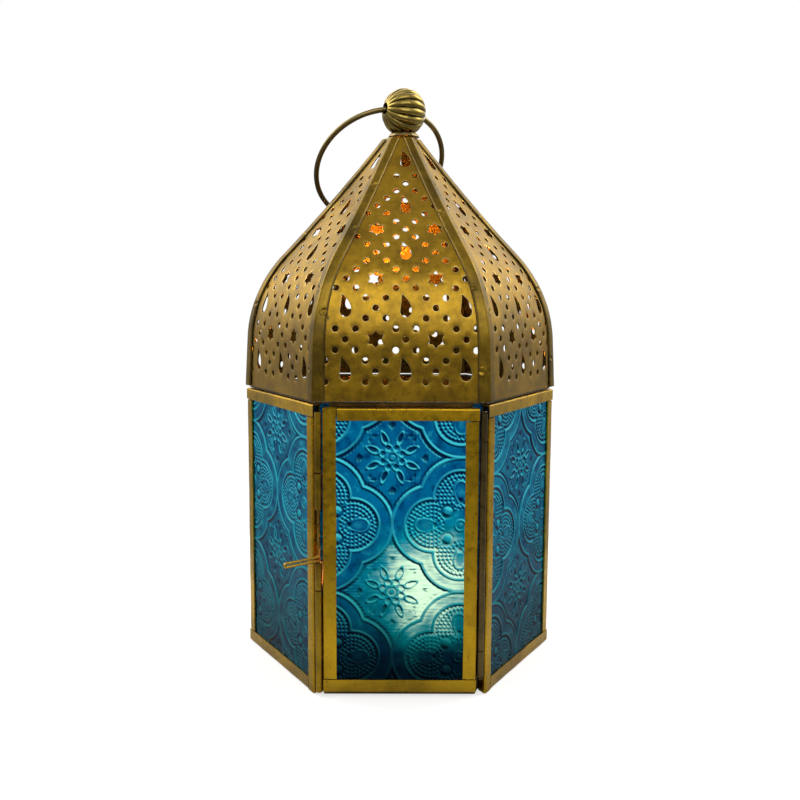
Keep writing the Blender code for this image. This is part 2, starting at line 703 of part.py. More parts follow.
def tealight():
    """Thin metal cup, wax with a wick hole, and the wick on its sustainer."""
    holder = empty("tealight_place", (CANDLE_X, 0, CANDLE_Z))
    floor = CUP_WALL
    wall = CUP_RADIUS - CUP_WALL
    cup = [(0, 0), (CUP_RADIUS - 0.9, 0), (CUP_RADIUS, 0.9), (CUP_RADIUS, CUP_HEIGHT), (wall, CUP_HEIGHT),
           (wall, 0.9 + floor / 2), (wall - 0.75, floor), (0, floor)]
    top = WAX_TOP - CANDLE_Z
    low = floor + 0.9
    bore = WICK_RADIUS + GAP
    wax = [(bore, low), (wall - GAP - 0.6, low), (wall - GAP, low + 0.6), (wall - GAP, top),
           (bore, top - 0.4)]
    tab = [(0, floor + GAP), (6.0, floor + GAP), (6.0, floor + 0.6), (0, floor + 0.6)]
    wick_low = floor + 0.9
    wick = [(0, wick_low), (WICK_RADIUS, wick_low), (WICK_RADIUS, WICK_TOP - CANDLE_Z - 0.5),
            (WICK_RADIUS - 0.4, WICK_TOP - CANDLE_Z), (0, WICK_TOP - CANDLE_Z)]
    turnings = (("tealight_cup", cup, ALUMINIUM, 36), ("tealight_wax", wax, WAX, 32),
                ("wick_sustainer", tab, ALUMINIUM, 20), ("wick", wick, WICK, 10))
    for name, profile, look, segments in turnings:
        piece(name, *turned(profile, segments), look, smooth=30).parent = holder


def main():
    for thing in list(bpy.data.objects):
        bpy.data.objects.remove(thing)
    body()
    door()
    frame_tubes()
    hinge_pin()
    latch_bolt()
    dome()
    finial()
    tealight()


main()
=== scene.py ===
"""Looks of the hexagonal brass candle lantern, made round its CAD frame.

Shapes are worked out in millimetres and scaled to metres as their meshes are made.
Every body panel and gore is drawn as if it were at the front, then turned about Z by its side number.
"""
import math

import bpy
import numpy as np
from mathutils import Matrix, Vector
from mathutils.geometry import delaunay_2d_cdt


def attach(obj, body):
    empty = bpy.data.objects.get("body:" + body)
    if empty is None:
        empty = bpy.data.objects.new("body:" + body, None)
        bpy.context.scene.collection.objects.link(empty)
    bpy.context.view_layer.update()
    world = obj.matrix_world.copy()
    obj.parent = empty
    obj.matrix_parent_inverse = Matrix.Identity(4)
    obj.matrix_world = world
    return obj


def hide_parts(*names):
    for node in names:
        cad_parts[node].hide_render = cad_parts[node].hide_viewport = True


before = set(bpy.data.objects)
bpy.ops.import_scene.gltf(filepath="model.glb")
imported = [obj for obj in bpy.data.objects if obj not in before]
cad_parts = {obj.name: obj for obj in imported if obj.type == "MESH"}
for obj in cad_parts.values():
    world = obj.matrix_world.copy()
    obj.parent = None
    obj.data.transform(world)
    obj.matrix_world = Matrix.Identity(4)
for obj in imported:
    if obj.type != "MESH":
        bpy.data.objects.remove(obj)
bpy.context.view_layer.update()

MM = 0.001
GAP = 0.3                      # air between neighbouring pieces
TAN30 = math.tan(math.radians(30))
COS30 = math.cos(math.radians(30))
TURN = 2 * math.pi

# Panels
APOTHEM = 48.5                 # centre to the outer face of a panel
HALF_SIDE = APOTHEM * TAN30
MITRE_GAP = 0.5 * GAP / COS30
SOLDERED = 0.04                # half of the gap left where two panels are soldered together
PANEL_TOP = 95.5
CHANNEL_DEPTH = 3.6
SHEET = 0.5
STILE_FACE = 4.3
TOP_FACE = 3.9
BOTTOM_FACE = 4.3
FOLD_RADIUS = 0.32             # middle of the sheet, at a channel's corners
WAVER = 0.05                   # how far hand-folded strip strays from straight
STATION = 1.2                  # spacing of the sections along a channel
GLASS = 2.0
GLASS_HALF = 25.2
SIDES = (("right_front", 1, -1), ("right_back", 2, -1), ("back", 3, 1), ("left_back", 4, 1),
         ("left_front", 5, 1))  # name, side number, side of its long stile

# Door
DOOR_HALF = 24.85
DOOR_PROUD = 1.5
DOOR_BOTTOM = 1.1
DOOR_TOP = 94.6
DOOR_GLASS_EDGE = SHEET + GAP + 0.05
PIVOT_X = 26.3
PIVOT_Y = -48.9
BARREL = 0.92                  # middle of the sheet of a rolled tube
BARREL_SHEET = 0.4
BARREL_END = 0.12              # length of the slight narrowing at each end of a tube
ROLL = math.radians(325)       # how far the sheet goes round
TAB = 2.4
TUBES = (("door_lower_hinge_knuckle", 1, (6.2, 15.0), "door"),
         ("door_upper_hinge_knuckle", 1, (84.0, 93.0), "door"),
         ("hinge_barrel", 1, (15.3, 83.7), "lantern"),
         ("door_lower_latch_knuckle", -1, (35.4, 44.2), "door"),
         ("door_upper_latch_knuckle", -1, (61.8, 73.4), "door"),
         ("latch_keeper", -1, (74.0, 93.3), "lantern"),
         ("latch_foot_tube", -1, (1.0, 35.0), "lantern"))
LATCH_WIRE = 0.45
LATCH_TOP = 72.8
LATCH_END = 35.8
LATCH_HANDLE_Z = 45.55
LATCH_SPACING = 1.2
LATCH_REACH = 12.0
LATCH_HEADING = math.radians(217.0)
WIRE_SIDES = 16

# Pressed glass pattern
PITCH = 43.8                   # between neighbouring flowers
# middle of one flower of each pane
FLOWERS = {"door": (-2.7, 34.9), "left_front": (-2.3, 40.0), "right_front": (-0.2, 28.3),
           "right_back": (6.0, 38.0), "back": (-4.0, 31.0), "left_back": (3.0, 25.0)}
GLASS_STEP = 0.32              # spacing of the relief's points
RELIEF_HIGH = 0.26
RELIEF_LOW = -0.5
PLAIN_RIM = 1.5                # width round a pane over which its relief dies away
BACK_SHARE = 0.3               # the back's relief as a share of the front's

# Dome
DOME_BOTTOM = 96.6
DOME_APOTHEM = 48.15
SKIRT_LENGTH = 17.0
SKIRT_LEAN = math.radians(2.4)
SHOULDER_RADIUS = 50.0
FLARE_LEAN = math.radians(39.5)
TIP_LEAN = math.radians(34.8)
SHOULDER_LENGTH = SHOULDER_RADIUS * (FLARE_LEAN - SKIRT_LEAN)
FLARE_LENGTH = 51.8
DOME_LENGTH = SKIRT_LENGTH + SHOULDER_LENGTH + FLARE_LENGTH
RIB_SHEET = 0.5
RIB_FLANGE = (3.7, 2.5)        # width of a rib's half at its foot and at its tip
RIB_LENGTH = DOME_LENGTH - 1.0
RIB_CREASE = 0.32
DIMPLES = ((9.0, -1), (37.0, -1), (58.0, 1), (80.0, 1), (30.0, 1), (68.0, -1))  # distance up, side
GORES = ("front", "right_front", "right_back", "back", "left_back", "left_front")
RIBS = ("front_right", "right", "back_right", "back_left", "left", "front_left")

# Pierced pattern
PATTERN_SHIFT = 1.4
COLUMN = 3.18                  # between columns of the pattern
ROW = 3.36                     # between its rows
FIRST_ROW = 9.5
HOLE_RADIUS = 1.25
STAR = (3.15, 2.0)             # radius of its points and of its notches
LIP = 0.2                      # width of the chamfered edge round a punched hole, paler than the sheet as a painted highlight
FILLING = 1.5                  # spacing of the points between the holes
HOLE_CLEAR = 0.45              # how near a hole's outline such a point may lie
SHEET_ROWS = 68

# Finial
BEAD_CENTRE = np.array((0.8, 0.0, 193.6))
BEAD_RADIUS = 8.3
BEAD_HALF = 7.7
BEAD_BORE = 2.0
FLUTES = 16
BEAD_YAW = math.radians(27.0)
BEAD_TILT = math.radians(6.0)
RING_RADIUS = 24.0
RING_WIRE = 0.95
RING_OFFSET = 0.7
RING_DROP = math.radians(139.2)
SEAT_BORE = 3.0
SEAT_BOTTOM = 184.9

FLAME = Vector((-2.0, -3.0, 25.0)) * MM
FLOOR_RADIUS = 170.0 * MM


# ---------------------------------------------------------------- meshes from arrays

def grid_faces(rows, columns, wrap_rows=False, wrap_columns=False):
    """Quads of a grid whose points run row by row; a wrapped direction joins its last line to its first."""
    i, j = np.meshgrid(np.arange(rows if wrap_rows else rows - 1),
                       np.arange(columns if wrap_columns else columns - 1), indexing="ij")
    below = (i + 1) % rows
    beside = (j + 1) % columns
    corners = (i * columns + j, i * columns + beside, below * columns + beside, below * columns + j)
    return np.stack(corners, axis=-1).reshape(-1, 4)


def tube_faces(rows, columns):
    """Quads round an open-ended stack of closed sections, and one flat face at each end."""
    first = np.arange(columns)[None, ::-1]
    last = (rows - 1) * columns + np.arange(columns)[None, :]
    return [grid_faces(rows, columns, wrap_columns=True), first, last]


def enclosed(points, faces):
    """Signed volume inside a closed mesh: the sum of its faces' tetrahedra from the origin."""
    total = 0.0
    for block in faces:
        corner = points[block]
        for k in range(1, block.shape[1] - 1):
            wedge = np.cross(corner[:, k], corner[:, k + 1])
            total += float(np.einsum("ij,ij->", corner[:, 0], wedge))
    return total


def turned_to(points, side):
    """Points turned about Z by 60 degrees times the side number."""
    cosine, sine = math.cos(math.radians(60 * side)), math.sin(math.radians(60 * side))
    return points @ np.array(((cosine, sine, 0), (-sine, cosine, 0), (0, 0, 1)))


def placed(name, data, location=(0, 0, 0)):
    """A new object in the scene."""
    thing = bpy.data.objects.new(name, data)
    thing.location = location
    bpy.context.collection.objects.link(thing)
    return thing


def new_piece(name, points, faces, looks, stands_for, body="lantern", smooth=35,
              values=None, face_looks=None):
    """Closed piece from points in millimetres and blocks of corner numbers, its faces turned outwards.

    values holds named numbers for every point, and face_looks picks a look for every face.
    """
    points = np.asarray(points, dtype=float).reshape(-1, 3) * MM
    blocks = [np.asarray(block) for block in faces]
    if enclosed(points - points.mean(axis=0), blocks) < 0:
        blocks = [block[:, ::-1] for block in blocks]
    corners = np.concatenate([block.ravel() for block in blocks])
    sizes = np.concatenate([np.full(len(block), block.shape[1]) for block in blocks])
    mesh = bpy.data.meshes.new(name)
    mesh.vertices.add(len(points))
    mesh.vertices.foreach_set("co", points.ravel())
    mesh.loops.add(len(corners))
    mesh.loops.foreach_set("vertex_index", corners)
    mesh.polygons.add(len(sizes))
    mesh.polygons.foreach_set("loop_start", np.concatenate(([0], np.cumsum(sizes)[:-1])))
    for look in looks:
        mesh.materials.append(look)
    if face_looks is not None:
        mesh.polygons.foreach_set("material_index", face_looks)
    mesh.update(calc_edges=True)
    mesh.validate()
    mesh.shade_smooth()
    mesh.set_sharp_from_angle(angle=math.radians(smooth))
    for label, numbers in (values or {}).items():
        mesh.attributes.new(label, "FLOAT", "POINT").data.foreach_set("value", np.ravel(numbers))
    piece = placed(name, mesh)
    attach(piece, body)
    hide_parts(stands_for)
    return piece


def waver(along, seed, size):
    """Slow hand-made unevenness: three sine waves of unrelated lengths, shifted by the seed."""
    waves = 0.5 * np.sin(along / 7.3 + 2.1 * seed) + 0.3 * np.sin(along / 3.1 + 4.7 * seed)
    return size * (waves + 0.2 * np.sin(along / 1.4 + 1.3 * seed))


# ---------------------------------------------------------------- looks

def start_look(name):
    """A new material with its node tree and its Principled shader."""
    material = bpy.data.materials.new(name)
    material.use_nodes = True
    return material, material.node_tree, material.node_tree.nodes["Principled BSDF"]


def put(tree, socket, value):
    """A socket given a number, a colour, a vector or another node's output."""
    if isinstance(value, bpy.types.NodeSocket):
        tree.links.new(value, socket)
    else:
        socket.default_value = (*value, 1.0) if socket.type == "RGBA" else value


def fill(tree, node, **sockets):
    """Sockets of a node, named with underscores for spaces, each given its value."""
    for key, value in sockets.items():
        put(tree, node.inputs[key.replace("_", " ")], value)


def add(tree, kind, settings=None, **sockets):
    """A new node with its settings and its sockets' values."""
    node = tree.nodes.new(kind)
    for key, value in (settings or {}).items():
        setattr(node, key, value)
    fill(tree, node, **sockets)
    return node


def object_place(tree, stretch=(1, 1, 1)):
    """Object coordinates in metres, stretched along the axes."""
    place = add(tree, "ShaderNodeTexCoord").outputs["Object"]
    return add(tree, "ShaderNodeMapping", Vector=place, Scale=stretch).outputs["Vector"]


def upward(tree, place):
    """The Z of a place."""
    return add(tree, "ShaderNodeSeparateXYZ", Vector=place).outputs["Z"]


def mesh_value(tree, name):
    """A named number of the mesh's points."""
    return add(tree, "ShaderNodeAttribute", {"attribute_name": name}).outputs["Fac"]


def cloud(tree, place, scale, detail=3.0, roughness=0.55):
    """Soft noise from 0 to 1."""
    return add(tree, "ShaderNodeTexNoise", Vector=place, Scale=scale, Detail=detail,
               Roughness=roughness).outputs["Fac"]


def span(tree, value, low, high, to_low=0.0, to_high=1.0):
    """Value from low to high, eased between the two results."""
    return add(tree, "ShaderNodeMapRange", {"interpolation_type": "SMOOTHSTEP"}, Value=value, From_Min=low,
               From_Max=high, To_Min=to_low, To_Max=to_high).outputs["Result"]


def arithmetic(tree, first, second, operation="MULTIPLY"):
    """Two numbers multiplied, or put together in another way."""
    node = add(tree, "ShaderNodeMath", {"operation": operation})
    put(tree, node.inputs[0], first)
    put(tree, node.inputs[1], second)
    return node.outputs["Value"]


def blend(tree, amount, first, second):
    """Two colours mixed by an amount."""
    node = add(tree, "ShaderNodeMix", {"data_type": "RGBA"})
    for index, value in ((0, amount), (6, first), (7, second)):
        put(tree, node.inputs[index], value)
    return node.outputs[2]


def bump(tree, height, strength, distance, under=None):
    """Surface relief of a height in metres, on top of another relief."""
    node = add(tree, "ShaderNodeBump", Height=height, Strength=strength, Distance=distance)
    if under is not None:
        put(tree, node.inputs["Normal"], under)
    return node.outputs["Normal"]


def mix_surfaces(tree, amount, first, second, output):
    """Two shaders mixed by an amount, as the surface of the output node."""
    mixed = add(tree, "ShaderNodeMixShader", Fac=amount)
    put(tree, mixed.inputs[1], first)
    put(tree, mixed.inputs[2], second)
    put(tree, tree.nodes[output].inputs["Surface"], mixed.outputs["Shader"])


def brass(name, light, shade, soot=0.5, speckle=0.5, gloss=(0.24, 0.46), painted_low_shade=None, groove_shade=None):
    """Aged brass: drifting tone, dark stains and specks, fine drawn scratches, uneven gloss and soft dents.

    The optional height range, in metres, is painted shade that blackens it downwards, and the optional mesh
    value names where painted shade blackens its hollows.
    """
    material, tree, shader = start_look(name)
    place = object_place(tree)
    drawn = object_place(tree, (1, 1, 0.35))
    tone = blend(tree, span(tree, cloud(tree, place, 70.0, 4.0), 0.35, 0.68), light, shade)
    stain = span(tree, cloud(tree, place, 240.0, 6.0, 0.7), 0.56, 0.74, 0.0, soot)
    tone = blend(tree, stain, tone, (0.09, 0.055, 0.018))
    specks = span(tree, cloud(tree, place, 1100.0, 2.0, 0.6), 0.64, 0.74, 0.0, speckle)
    tone = blend(tree, specks, tone, (0.05, 0.03, 0.012))
    # Painted shade: darker towards the bottom over the given height range.
    if painted_low_shade:
        tone = blend(tree, span(tree, upward(tree, place), *painted_low_shade, 0.85, 0.0), tone, (0.035, 0.03, 0.02))
    # Painted shade in the hollows that the mesh value marks.
    if groove_shade:
        depth = span(tree, mesh_value(tree, groove_shade), 0.25, 1.0, 0.0, 0.93)
        tone = blend(tree, depth, tone, (0.03, 0.02, 0.008))
    wear = cloud(tree, place, 420.0, 4.0, 0.65)
    rough = arithmetic(tree, span(tree, wear, 0.3, 0.7, *gloss), arithmetic(tree, specks, 0.3), "ADD")
    dents = bump(tree, cloud(tree, place, 110.0, 1.0), 0.3, 0.0006)
    grain = bump(tree, wear, 0.25, 0.00012, dents)
    scratches = bump(tree, cloud(tree, drawn, 2600.0, 3.0, 0.7), 0.3, 0.00003, grain)
    fill(tree, shader, Base_Color=tone, Metallic=1.0, Coat_Weight=0.3, Coat_Roughness=0.28, Roughness=rough,
         Normal=scratches)
    return material


def painted_candle_glow(tree, place, ridge, tilt, outside, light, centre, strength):
    """The painted light of a pane with a painted candle glow: a ragged, finely streaked bright spot round a
    centre.

    The spot is teal where it is faint and nearly white at its middle, and held darker by painted shade on
    ridges and on slopes that face down.
    """
    away = add(tree, "ShaderNodeVectorMath", {"operation": "DISTANCE"})
    put(tree, away.inputs[0], place)
    put(tree, away.inputs[1], centre)
    near = span(tree, away.outputs["Value"], 0.034, 0.001)
    ragged = arithmetic(tree, near, arithmetic(tree, cloud(tree, place, 95.0, 5.0), 0.9), "ADD")
    lit = span(tree, ragged, 0.55, 1.5)
    streaks = cloud(tree, object_place(tree, (0.12, 1, 1)), 1500.0)
    for share in (span(tree, streaks, 0.3, 0.6, 0.8, 1.1), span(tree, tilt, -0.02, -0.4, 1.0, 0.06),
                  span(tree, ridge, 0.05, 0.6, 1.0, 0.5), outside):
        lit = arithmetic(tree, lit, share)
    spot = blend(tree, span(tree, lit, 0.30, 0.9), (0.0, 0.52, 0.52), (0.95, 1.35, 0.90))
    return blend(tree, arithmetic(tree, lit, strength), light, spot)


def pressed_blue_glass(name, deep, clear, slope_highlight, dim, glow=None):
    """Deep blue pressed glass with painted light: highlight on ridges, shade in hollows, a glow as if lit
    through.

    Slopes that face up take a painted highlight colour, and those that face down are darkened as painted
    shade.
    Dim is how much painted shade darkens it towards the floor, where its painted glow fades too. Glow is the
    centre and strength of the painted candle glow.
    """
    material, tree, shader = start_look(name)
    place = object_place(tree)
    height = upward(tree, place)
    ridge, tilt, outside = (mesh_value(tree, value) for value in ("ridge", "tilt", "outside"))
    mottle = cloud(tree, place, 260.0, 4.0, 0.6)
    blue = blend(tree, span(tree, cloud(tree, place, 60.0), 0.35, 0.65), deep, clear)
    layers = ((mottle, 0.52, 0.32, 0.75, (0.0, 0.03, 0.11)),
              (mottle, 0.55, 0.70, 0.6, (0.01, 0.30, 0.42)),
              # Painted highlight on the ridges.
              (ridge, 0.35, 0.8, 0.6, (0.02, 0.36, 0.46)),
              # Painted highlight on slopes that face up, painted shade on slopes that face down.
              (tilt, 0.04, 0.30, 0.95, slope_highlight),
              (tilt, -0.03, -0.26, 0.97, (0.0, 0.004, 0.022)),
              # Painted shade in the hollows.
              (ridge, -0.1, -0.6, 0.85, (0.0, 0.015, 0.06)),
              # Painted shade towards the floor.
              (height, 0.038, 0.006, dim, (0.0, 0.006, 0.014)))
    for value, none_at, most_at, most, colour in layers:
        blue = blend(tree, span(tree, value, none_at, most_at, 0.0, most), blue, colour)
    # Painted light: the pane glows as if lit through, fainter towards the floor, only on its front.
    painted_daylight = arithmetic(tree, span(tree, height, 0.002, 0.085, 0.14, 1.2), outside)
    light = blend(tree, painted_daylight, (0.0, 0.0, 0.0), blue)
    # Painted glow of the candle on the pane.
    if glow:
        light = painted_candle_glow(tree, place, ridge, tilt, outside, light, *glow)
    ripple = bump(tree, cloud(tree, place, 500.0, 2.0), 0.25, 0.0002)
    # The emission carries the painted light.
    fill(tree, shader, Base_Color=blue, IOR=1.33, Specular_IOR_Level=0.12, Transmission_Weight=0.25,
         Roughness=span(tree, cloud(tree, place, 900.0), 0.3, 0.7, 0.06, 0.16), Normal=ripple,
         Emission_Color=light, Emission_Strength=4.0)
    through = add(tree, "ShaderNodeBsdfTranslucent", Color=blue, Normal=ripple)
    mix_surfaces(tree, 0.8, shader.outputs["BSDF"], through.outputs["BSDF"], "Material Output")
    return material


def tealight_metal():
    """Thin drawn metal of the tealight cup: bright, with brushed rings and a few scuffs."""
    material, tree, shader = start_look("tealight_metal")
    rings = cloud(tree, object_place(tree, (0.2, 0.2, 4.0)), 900.0)
    scuffs = span(tree, cloud(tree, object_place(tree), 380.0, 5.0), 0.55, 0.7)
    fill(tree, shader, Base_Color=blend(tree, scuffs, (0.80, 0.80, 0.81), (0.55, 0.55, 0.57)), Metallic=1.0,
         Roughness=span(tree, scuffs, 0.0, 1.0, 0.22, 0.45), Normal=bump(tree, rings, 0.3, 0.00006))
    return material


def candle_wax():
    """Off-white wax, softly lit within, with a faintly uneven poured top."""
    material, tree, shader = start_look("candle_wax")
    place = object_place(tree)
    drift = cloud(tree, place, 160.0, 4.0)
    fill(tree, shader, Base_Color=blend(tree, drift, (0.92, 0.89, 0.80), (0.84, 0.79, 0.68)),
         Roughness=span(tree, drift, 0.3, 0.7, 0.35, 0.55), Subsurface_Weight=0.4,
         Subsurface_Radius=(0.003, 0.002, 0.001), Normal=bump(tree, cloud(tree, place, 320.0), 0.3, 0.0003))
    return material


def charred_wick():
    """Braided cotton wick, burnt dark towards its tip."""
    material, tree, shader = start_look("charred_wick")
    burnt = span(tree, upward(tree, object_place(tree)), 0.013, 0.017)
    braid = cloud(tree, object_place(tree, (1, 1, 0.4)), 3000.0, 2.0)
    cotton = blend(tree, braid, (0.62, 0.56, 0.44), (0.34, 0.29, 0.21))
    fill(tree, shader, Base_Color=blend(tree, burnt, cotton, (0.02, 0.017, 0.015)), Roughness=0.9,
         Normal=bump(tree, braid, 0.8, 0.0003))
    return material


gore_brass = brass("gore_brass", (0.52, 0.300, 0.014), (0.33, 0.190, 0.009), soot=0.45, speckle=0.35)
rib_brass = brass("rib_brass", (0.34, 0.205, 0.012), (0.15, 0.092, 0.007), soot=0.45, speckle=0.3)
# Painted highlight: the lip round each punched hole is paler than the gore.
lip_highlight_brass = brass("punched_edge_brass", (0.62, 0.46, 0.16), (0.40, 0.28, 0.06), soot=0.2, speckle=0.1)
# The channels darken towards their foot as painted shade.
channel_brass = brass("channel_brass", (0.82, 0.490, 0.012), (0.52, 0.310, 0.008), soot=0.6, speckle=0.95,
                      painted_low_shade=(-0.012, 0.010))
tube_brass = brass("tube_brass", (0.52, 0.320, 0.016), (0.26, 0.160, 0.010), soot=0.6, speckle=0.6)
bead_brass = brass("bead_brass", (0.50, 0.36, 0.075), (0.32, 0.22, 0.04), soot=0.3, speckle=0.3,
                   gloss=(0.16, 0.34), groove_shade="groove_shade")
# The ring darkens towards its lower part as painted shade.
ring_brass = brass("ring_brass", (0.34, 0.25, 0.08), (0.19, 0.135, 0.045), speckle=0.4,
                   painted_low_shade=(0.165, 0.192))
bolt_brass = brass("bolt_brass", (0.66, 0.42, 0.05), (0.40, 0.25, 0.03), soot=0.4, speckle=0.4,
                   gloss=(0.16, 0.34))
dark_brass = brass("dark_brass", (0.19, 0.13, 0.04), (0.09, 0.06, 0.02), soot=0.6)
seat_brass = brass("solder_brass", (0.34, 0.25, 0.09), (0.15, 0.105, 0.035), soot=0.6, speckle=0.4)
# One glass: the door's copy takes brighter painted highlights, the painted candle glow and more painted shade
# low down.
plain_glass = pressed_blue_glass("pressed_blue_glass", (0.0, 0.085, 0.165), (0.0, 0.15, 0.255),
                                 (0.02, 0.36, 0.47), 0.1)
lit_glass = pressed_blue_glass("candle_lit_blue_glass", (0.0, 0.095, 0.25), (0.0, 0.15, 0.32),
                               (0.06, 0.62, 0.72), 0.86, glow=((0.0092, -0.0495, 0.0375), 0.95))


# ---------------------------------------------------------------- pressed glass

def ridge_line(distance, width):
    """A rounded line of height 1 where distance is 0."""
    return np.exp(-(distance / width) ** 2)


def nearest(offset):
    """Offset from the nearest point of a lattice with the pattern's pitch."""
    return (offset + PITCH / 2) % PITCH - PITCH / 2


def four_lobes(x, y, out, radius):
    """Distance to the outline of four overlapping circles, centred on the axes at a distance out."""
    across = np.minimum(np.hypot(abs(x) - out, y), np.hypot(x, abs(y) - out))
    return across - radius


def oval(along, across, long, short):
    """1 on an oval's outline, 0 at its middle."""
    return np.hypot(along / long, across / short)


def medallion(x, y):
    """Four lobes filled with rows of beads round a leaf, curls between them and a smooth middle."""
    inner = np.minimum(four_lobes(x, y, 9.2, 8.6), np.hypot(x, y) - 4.0)
    outer = four_lobes(x, y, 8.85, 13.0)
    height = 0.25 * ridge_line(outer, 0.46) - 0.18 * ridge_line(outer - 0.95, 0.42)
    height += 0.24 * ridge_line(inner, 0.42) - 0.14 * ridge_line(inner + 0.85, 0.38)
    share = np.clip(inner / np.maximum(inner - outer, 0.01), 0, 1)
    height += np.where((inner > 0) & (outer < 0), 0.32 * share * (1 - share), 0.0)

    sideways = abs(x) > abs(y)
    along = np.where(sideways, abs(x), abs(y))
    across = np.where(sideways, y, x)
    leaf = oval(along - 10.9, across, 3.5, 2.1 * (1 + 0.07 * (along - 10.9)))
    radius = np.hypot(along - 9.2, across)
    row = np.clip(np.round((7.5 - radius) / 1.25), 0, 4)
    row_radius = 7.5 - 1.25 * row
    count = np.maximum(np.round(TURN * row_radius / 1.3), 1)
    angle = np.arctan2(across, along - 9.2) / TURN * count + 0.5 * (row % 2)
    around = (angle - np.round(angle)) * TURN * row_radius / count
    beads = np.exp(-((radius - row_radius) ** 2 + around ** 2) / 0.40 ** 2)
    curl = np.hypot(abs(x) - 4.2, abs(y) - 4.5)
    field = (inner < -0.7) & (leaf > 1.25) & (curl > 2.3) & (np.hypot(x, y) > 5.2)
    height += np.where(field, 0.14 - 0.34 * beads, 0.0)
    height += 0.20 * ridge_line((leaf - 1) * 2.6, 0.26) + 0.16 * np.clip(1 - leaf ** 2, 0, 1)
    height -= 0.45 * np.exp(-((along - 7.9) / 0.7) ** 2 - (across / 0.75) ** 2)
    height += 0.26 * np.clip(1 - (curl / 1.5) ** 2, 0, 1) - 0.14 * ridge_line(curl - 1.95, 0.35)
    centre = np.hypot(x, y)
    height += 0.20 * ridge_line(centre - 1.7, 0.3) + 0.18 * np.clip(1 - (centre / 1.2) ** 2, 0, 1)
    return height, outer


def flower(x, y):
    """Eight dots and eight pointed petals round a knob, darts on the axes and a thin square frame."""
    centre = np.hypot(x, y)
    petal = np.arctan2(y, x) / (TURN / 8) - 0.5
    turn = (petal - np.round(petal)) * (TURN / 8)
    along = centre * np.cos(turn)
    across = centre * np.sin(turn)
    dot = np.hypot(along - 3.3, across)
    leaf = oval(along - 6.8, across, 2.1, 0.95 * (1 - 0.12 * (along - 6.8)))
    height = 0.22 * ridge_line(centre - 1.75, 0.28) + 0.20 * np.clip(1 - (centre / 1.3) ** 2, 0, 1)
    height += 0.18 * ridge_line(dot - 1.1, 0.24) - 0.12 * np.clip(1 - (dot / 0.9) ** 2, 0, 1)
    height += 0.22 * ridge_line((leaf - 1) * 1.2, 0.26) - 0.20 * np.clip(1 - leaf ** 2, 0, 1)
    axis_along = np.maximum(abs(x), abs(y))
    axis_across = np.minimum(abs(x), abs(y))
    dart = 0.4 + 0.5 * abs(axis_along - 9.4)
    height -= 0.34 * np.exp(-((axis_along - 10.4) / 0.9) ** 2 - (axis_across / dart) ** 2)
    height += 0.10 * ridge_line(axis_along - 7.7, 0.25) * (axis_across > 4.2) * (leaf > 1.3)
    height -= 0.16 * np.exp(-(((axis_along - 7.2) ** 2 + (axis_across - 5.8) ** 2) / 0.6))
    return height


def relief(u, z, middle):
    """Height of the pressed pattern: flowers on a square lattice, a medallion between every four of them."""
    x, y = nearest(u - middle[0]), nearest(z - middle[1])
    rosette, outer = medallion(nearest(u - middle[0] - PITCH / 2), nearest(z - middle[1] - PITCH / 2))
    cell = np.clip(outer / 0.8, 0, 1)
    hatch = np.where(z > middle[1] + PITCH / 2, np.sin(TURN * x / 1.05), np.sin(TURN * y / 1.05))
    quiet = np.clip((np.hypot(x, y) - 8.8) / 1.5, 0, 1)
    height = rosette + cell * (flower(x, y) + 0.035 * hatch * quiet)
    return np.clip(height, RELIEF_LOW, RELIEF_HIGH)


def border(grid):
    """The outer numbers of a grid, going once round it."""
    return np.concatenate((grid[0, :-1], grid[:-1, -1], grid[-1, :0:-1], grid[:0:-1, 0]))


def pressed_pane(name, side, middle, half, bottom, top, front, look, body):
    """Pane whose front is a fine grid pushed out by the relief, with flat sides.

    Its back is a grid of every second point, faintly pushed out the same way, and each wall face joins one of
    the back's steps to two of the front's. Ridge is the height as a share of the highest, tilt is the slope,
    positive where it faces up or right, and outside is 1 on the front, away from the channels.
    """
    columns = 2 * int(half / GLASS_STEP) + 1
    rows = 2 * int(0.5 * (top - bottom) / GLASS_STEP) + 1
    u, z = np.meshgrid(np.linspace(-half, half, columns), np.linspace(bottom, top, rows))
    rim = np.minimum(np.minimum(half - abs(u), z - bottom), top - z)
    height = relief(u, z, middle) * np.clip(rim / PLAIN_RIM, 0, 1)
    rise_up, rise_right = np.gradient(height, GLASS_STEP)
    tilt = -rise_up - 0.4 * rise_right
    half_as_fine = (slice(None, None, 2), slice(None, None, 2))
    face = np.stack((u, front - height, z), axis=-1)
    back = face[half_as_fine].copy()
    back[..., 1] = front + GLASS - BACK_SHARE * height[half_as_fine]
    edge = border(np.arange(rows * columns).reshape(rows, columns))
    beyond = border(rows * columns + np.arange(back[..., 0].size).reshape(back.shape[:2]))
    walls = np.stack((edge[::2], edge[1::2], np.roll(edge, -2)[::2], np.roll(beyond, -1), beyond), axis=-1)
    faces = [grid_faces(rows, columns)[:, ::-1], walls[:, ::-1], rows * columns + grid_faces(*back.shape[:2])]
    points = turned_to(np.concatenate((face.reshape(-1, 3), back.reshape(-1, 3))), side)
    values = {label: np.concatenate((field.ravel(), (share * field[half_as_fine]).ravel()))
              for label, field, share in (("ridge", height / RELIEF_HIGH, 1), ("tilt", tilt, 1),
                                          ("outside", np.clip(rim - PLAIN_RIM, 0, 1), 0))}
    new_piece(name, points, faces, [look], name.removeprefix("pressed_"), body, values=values)


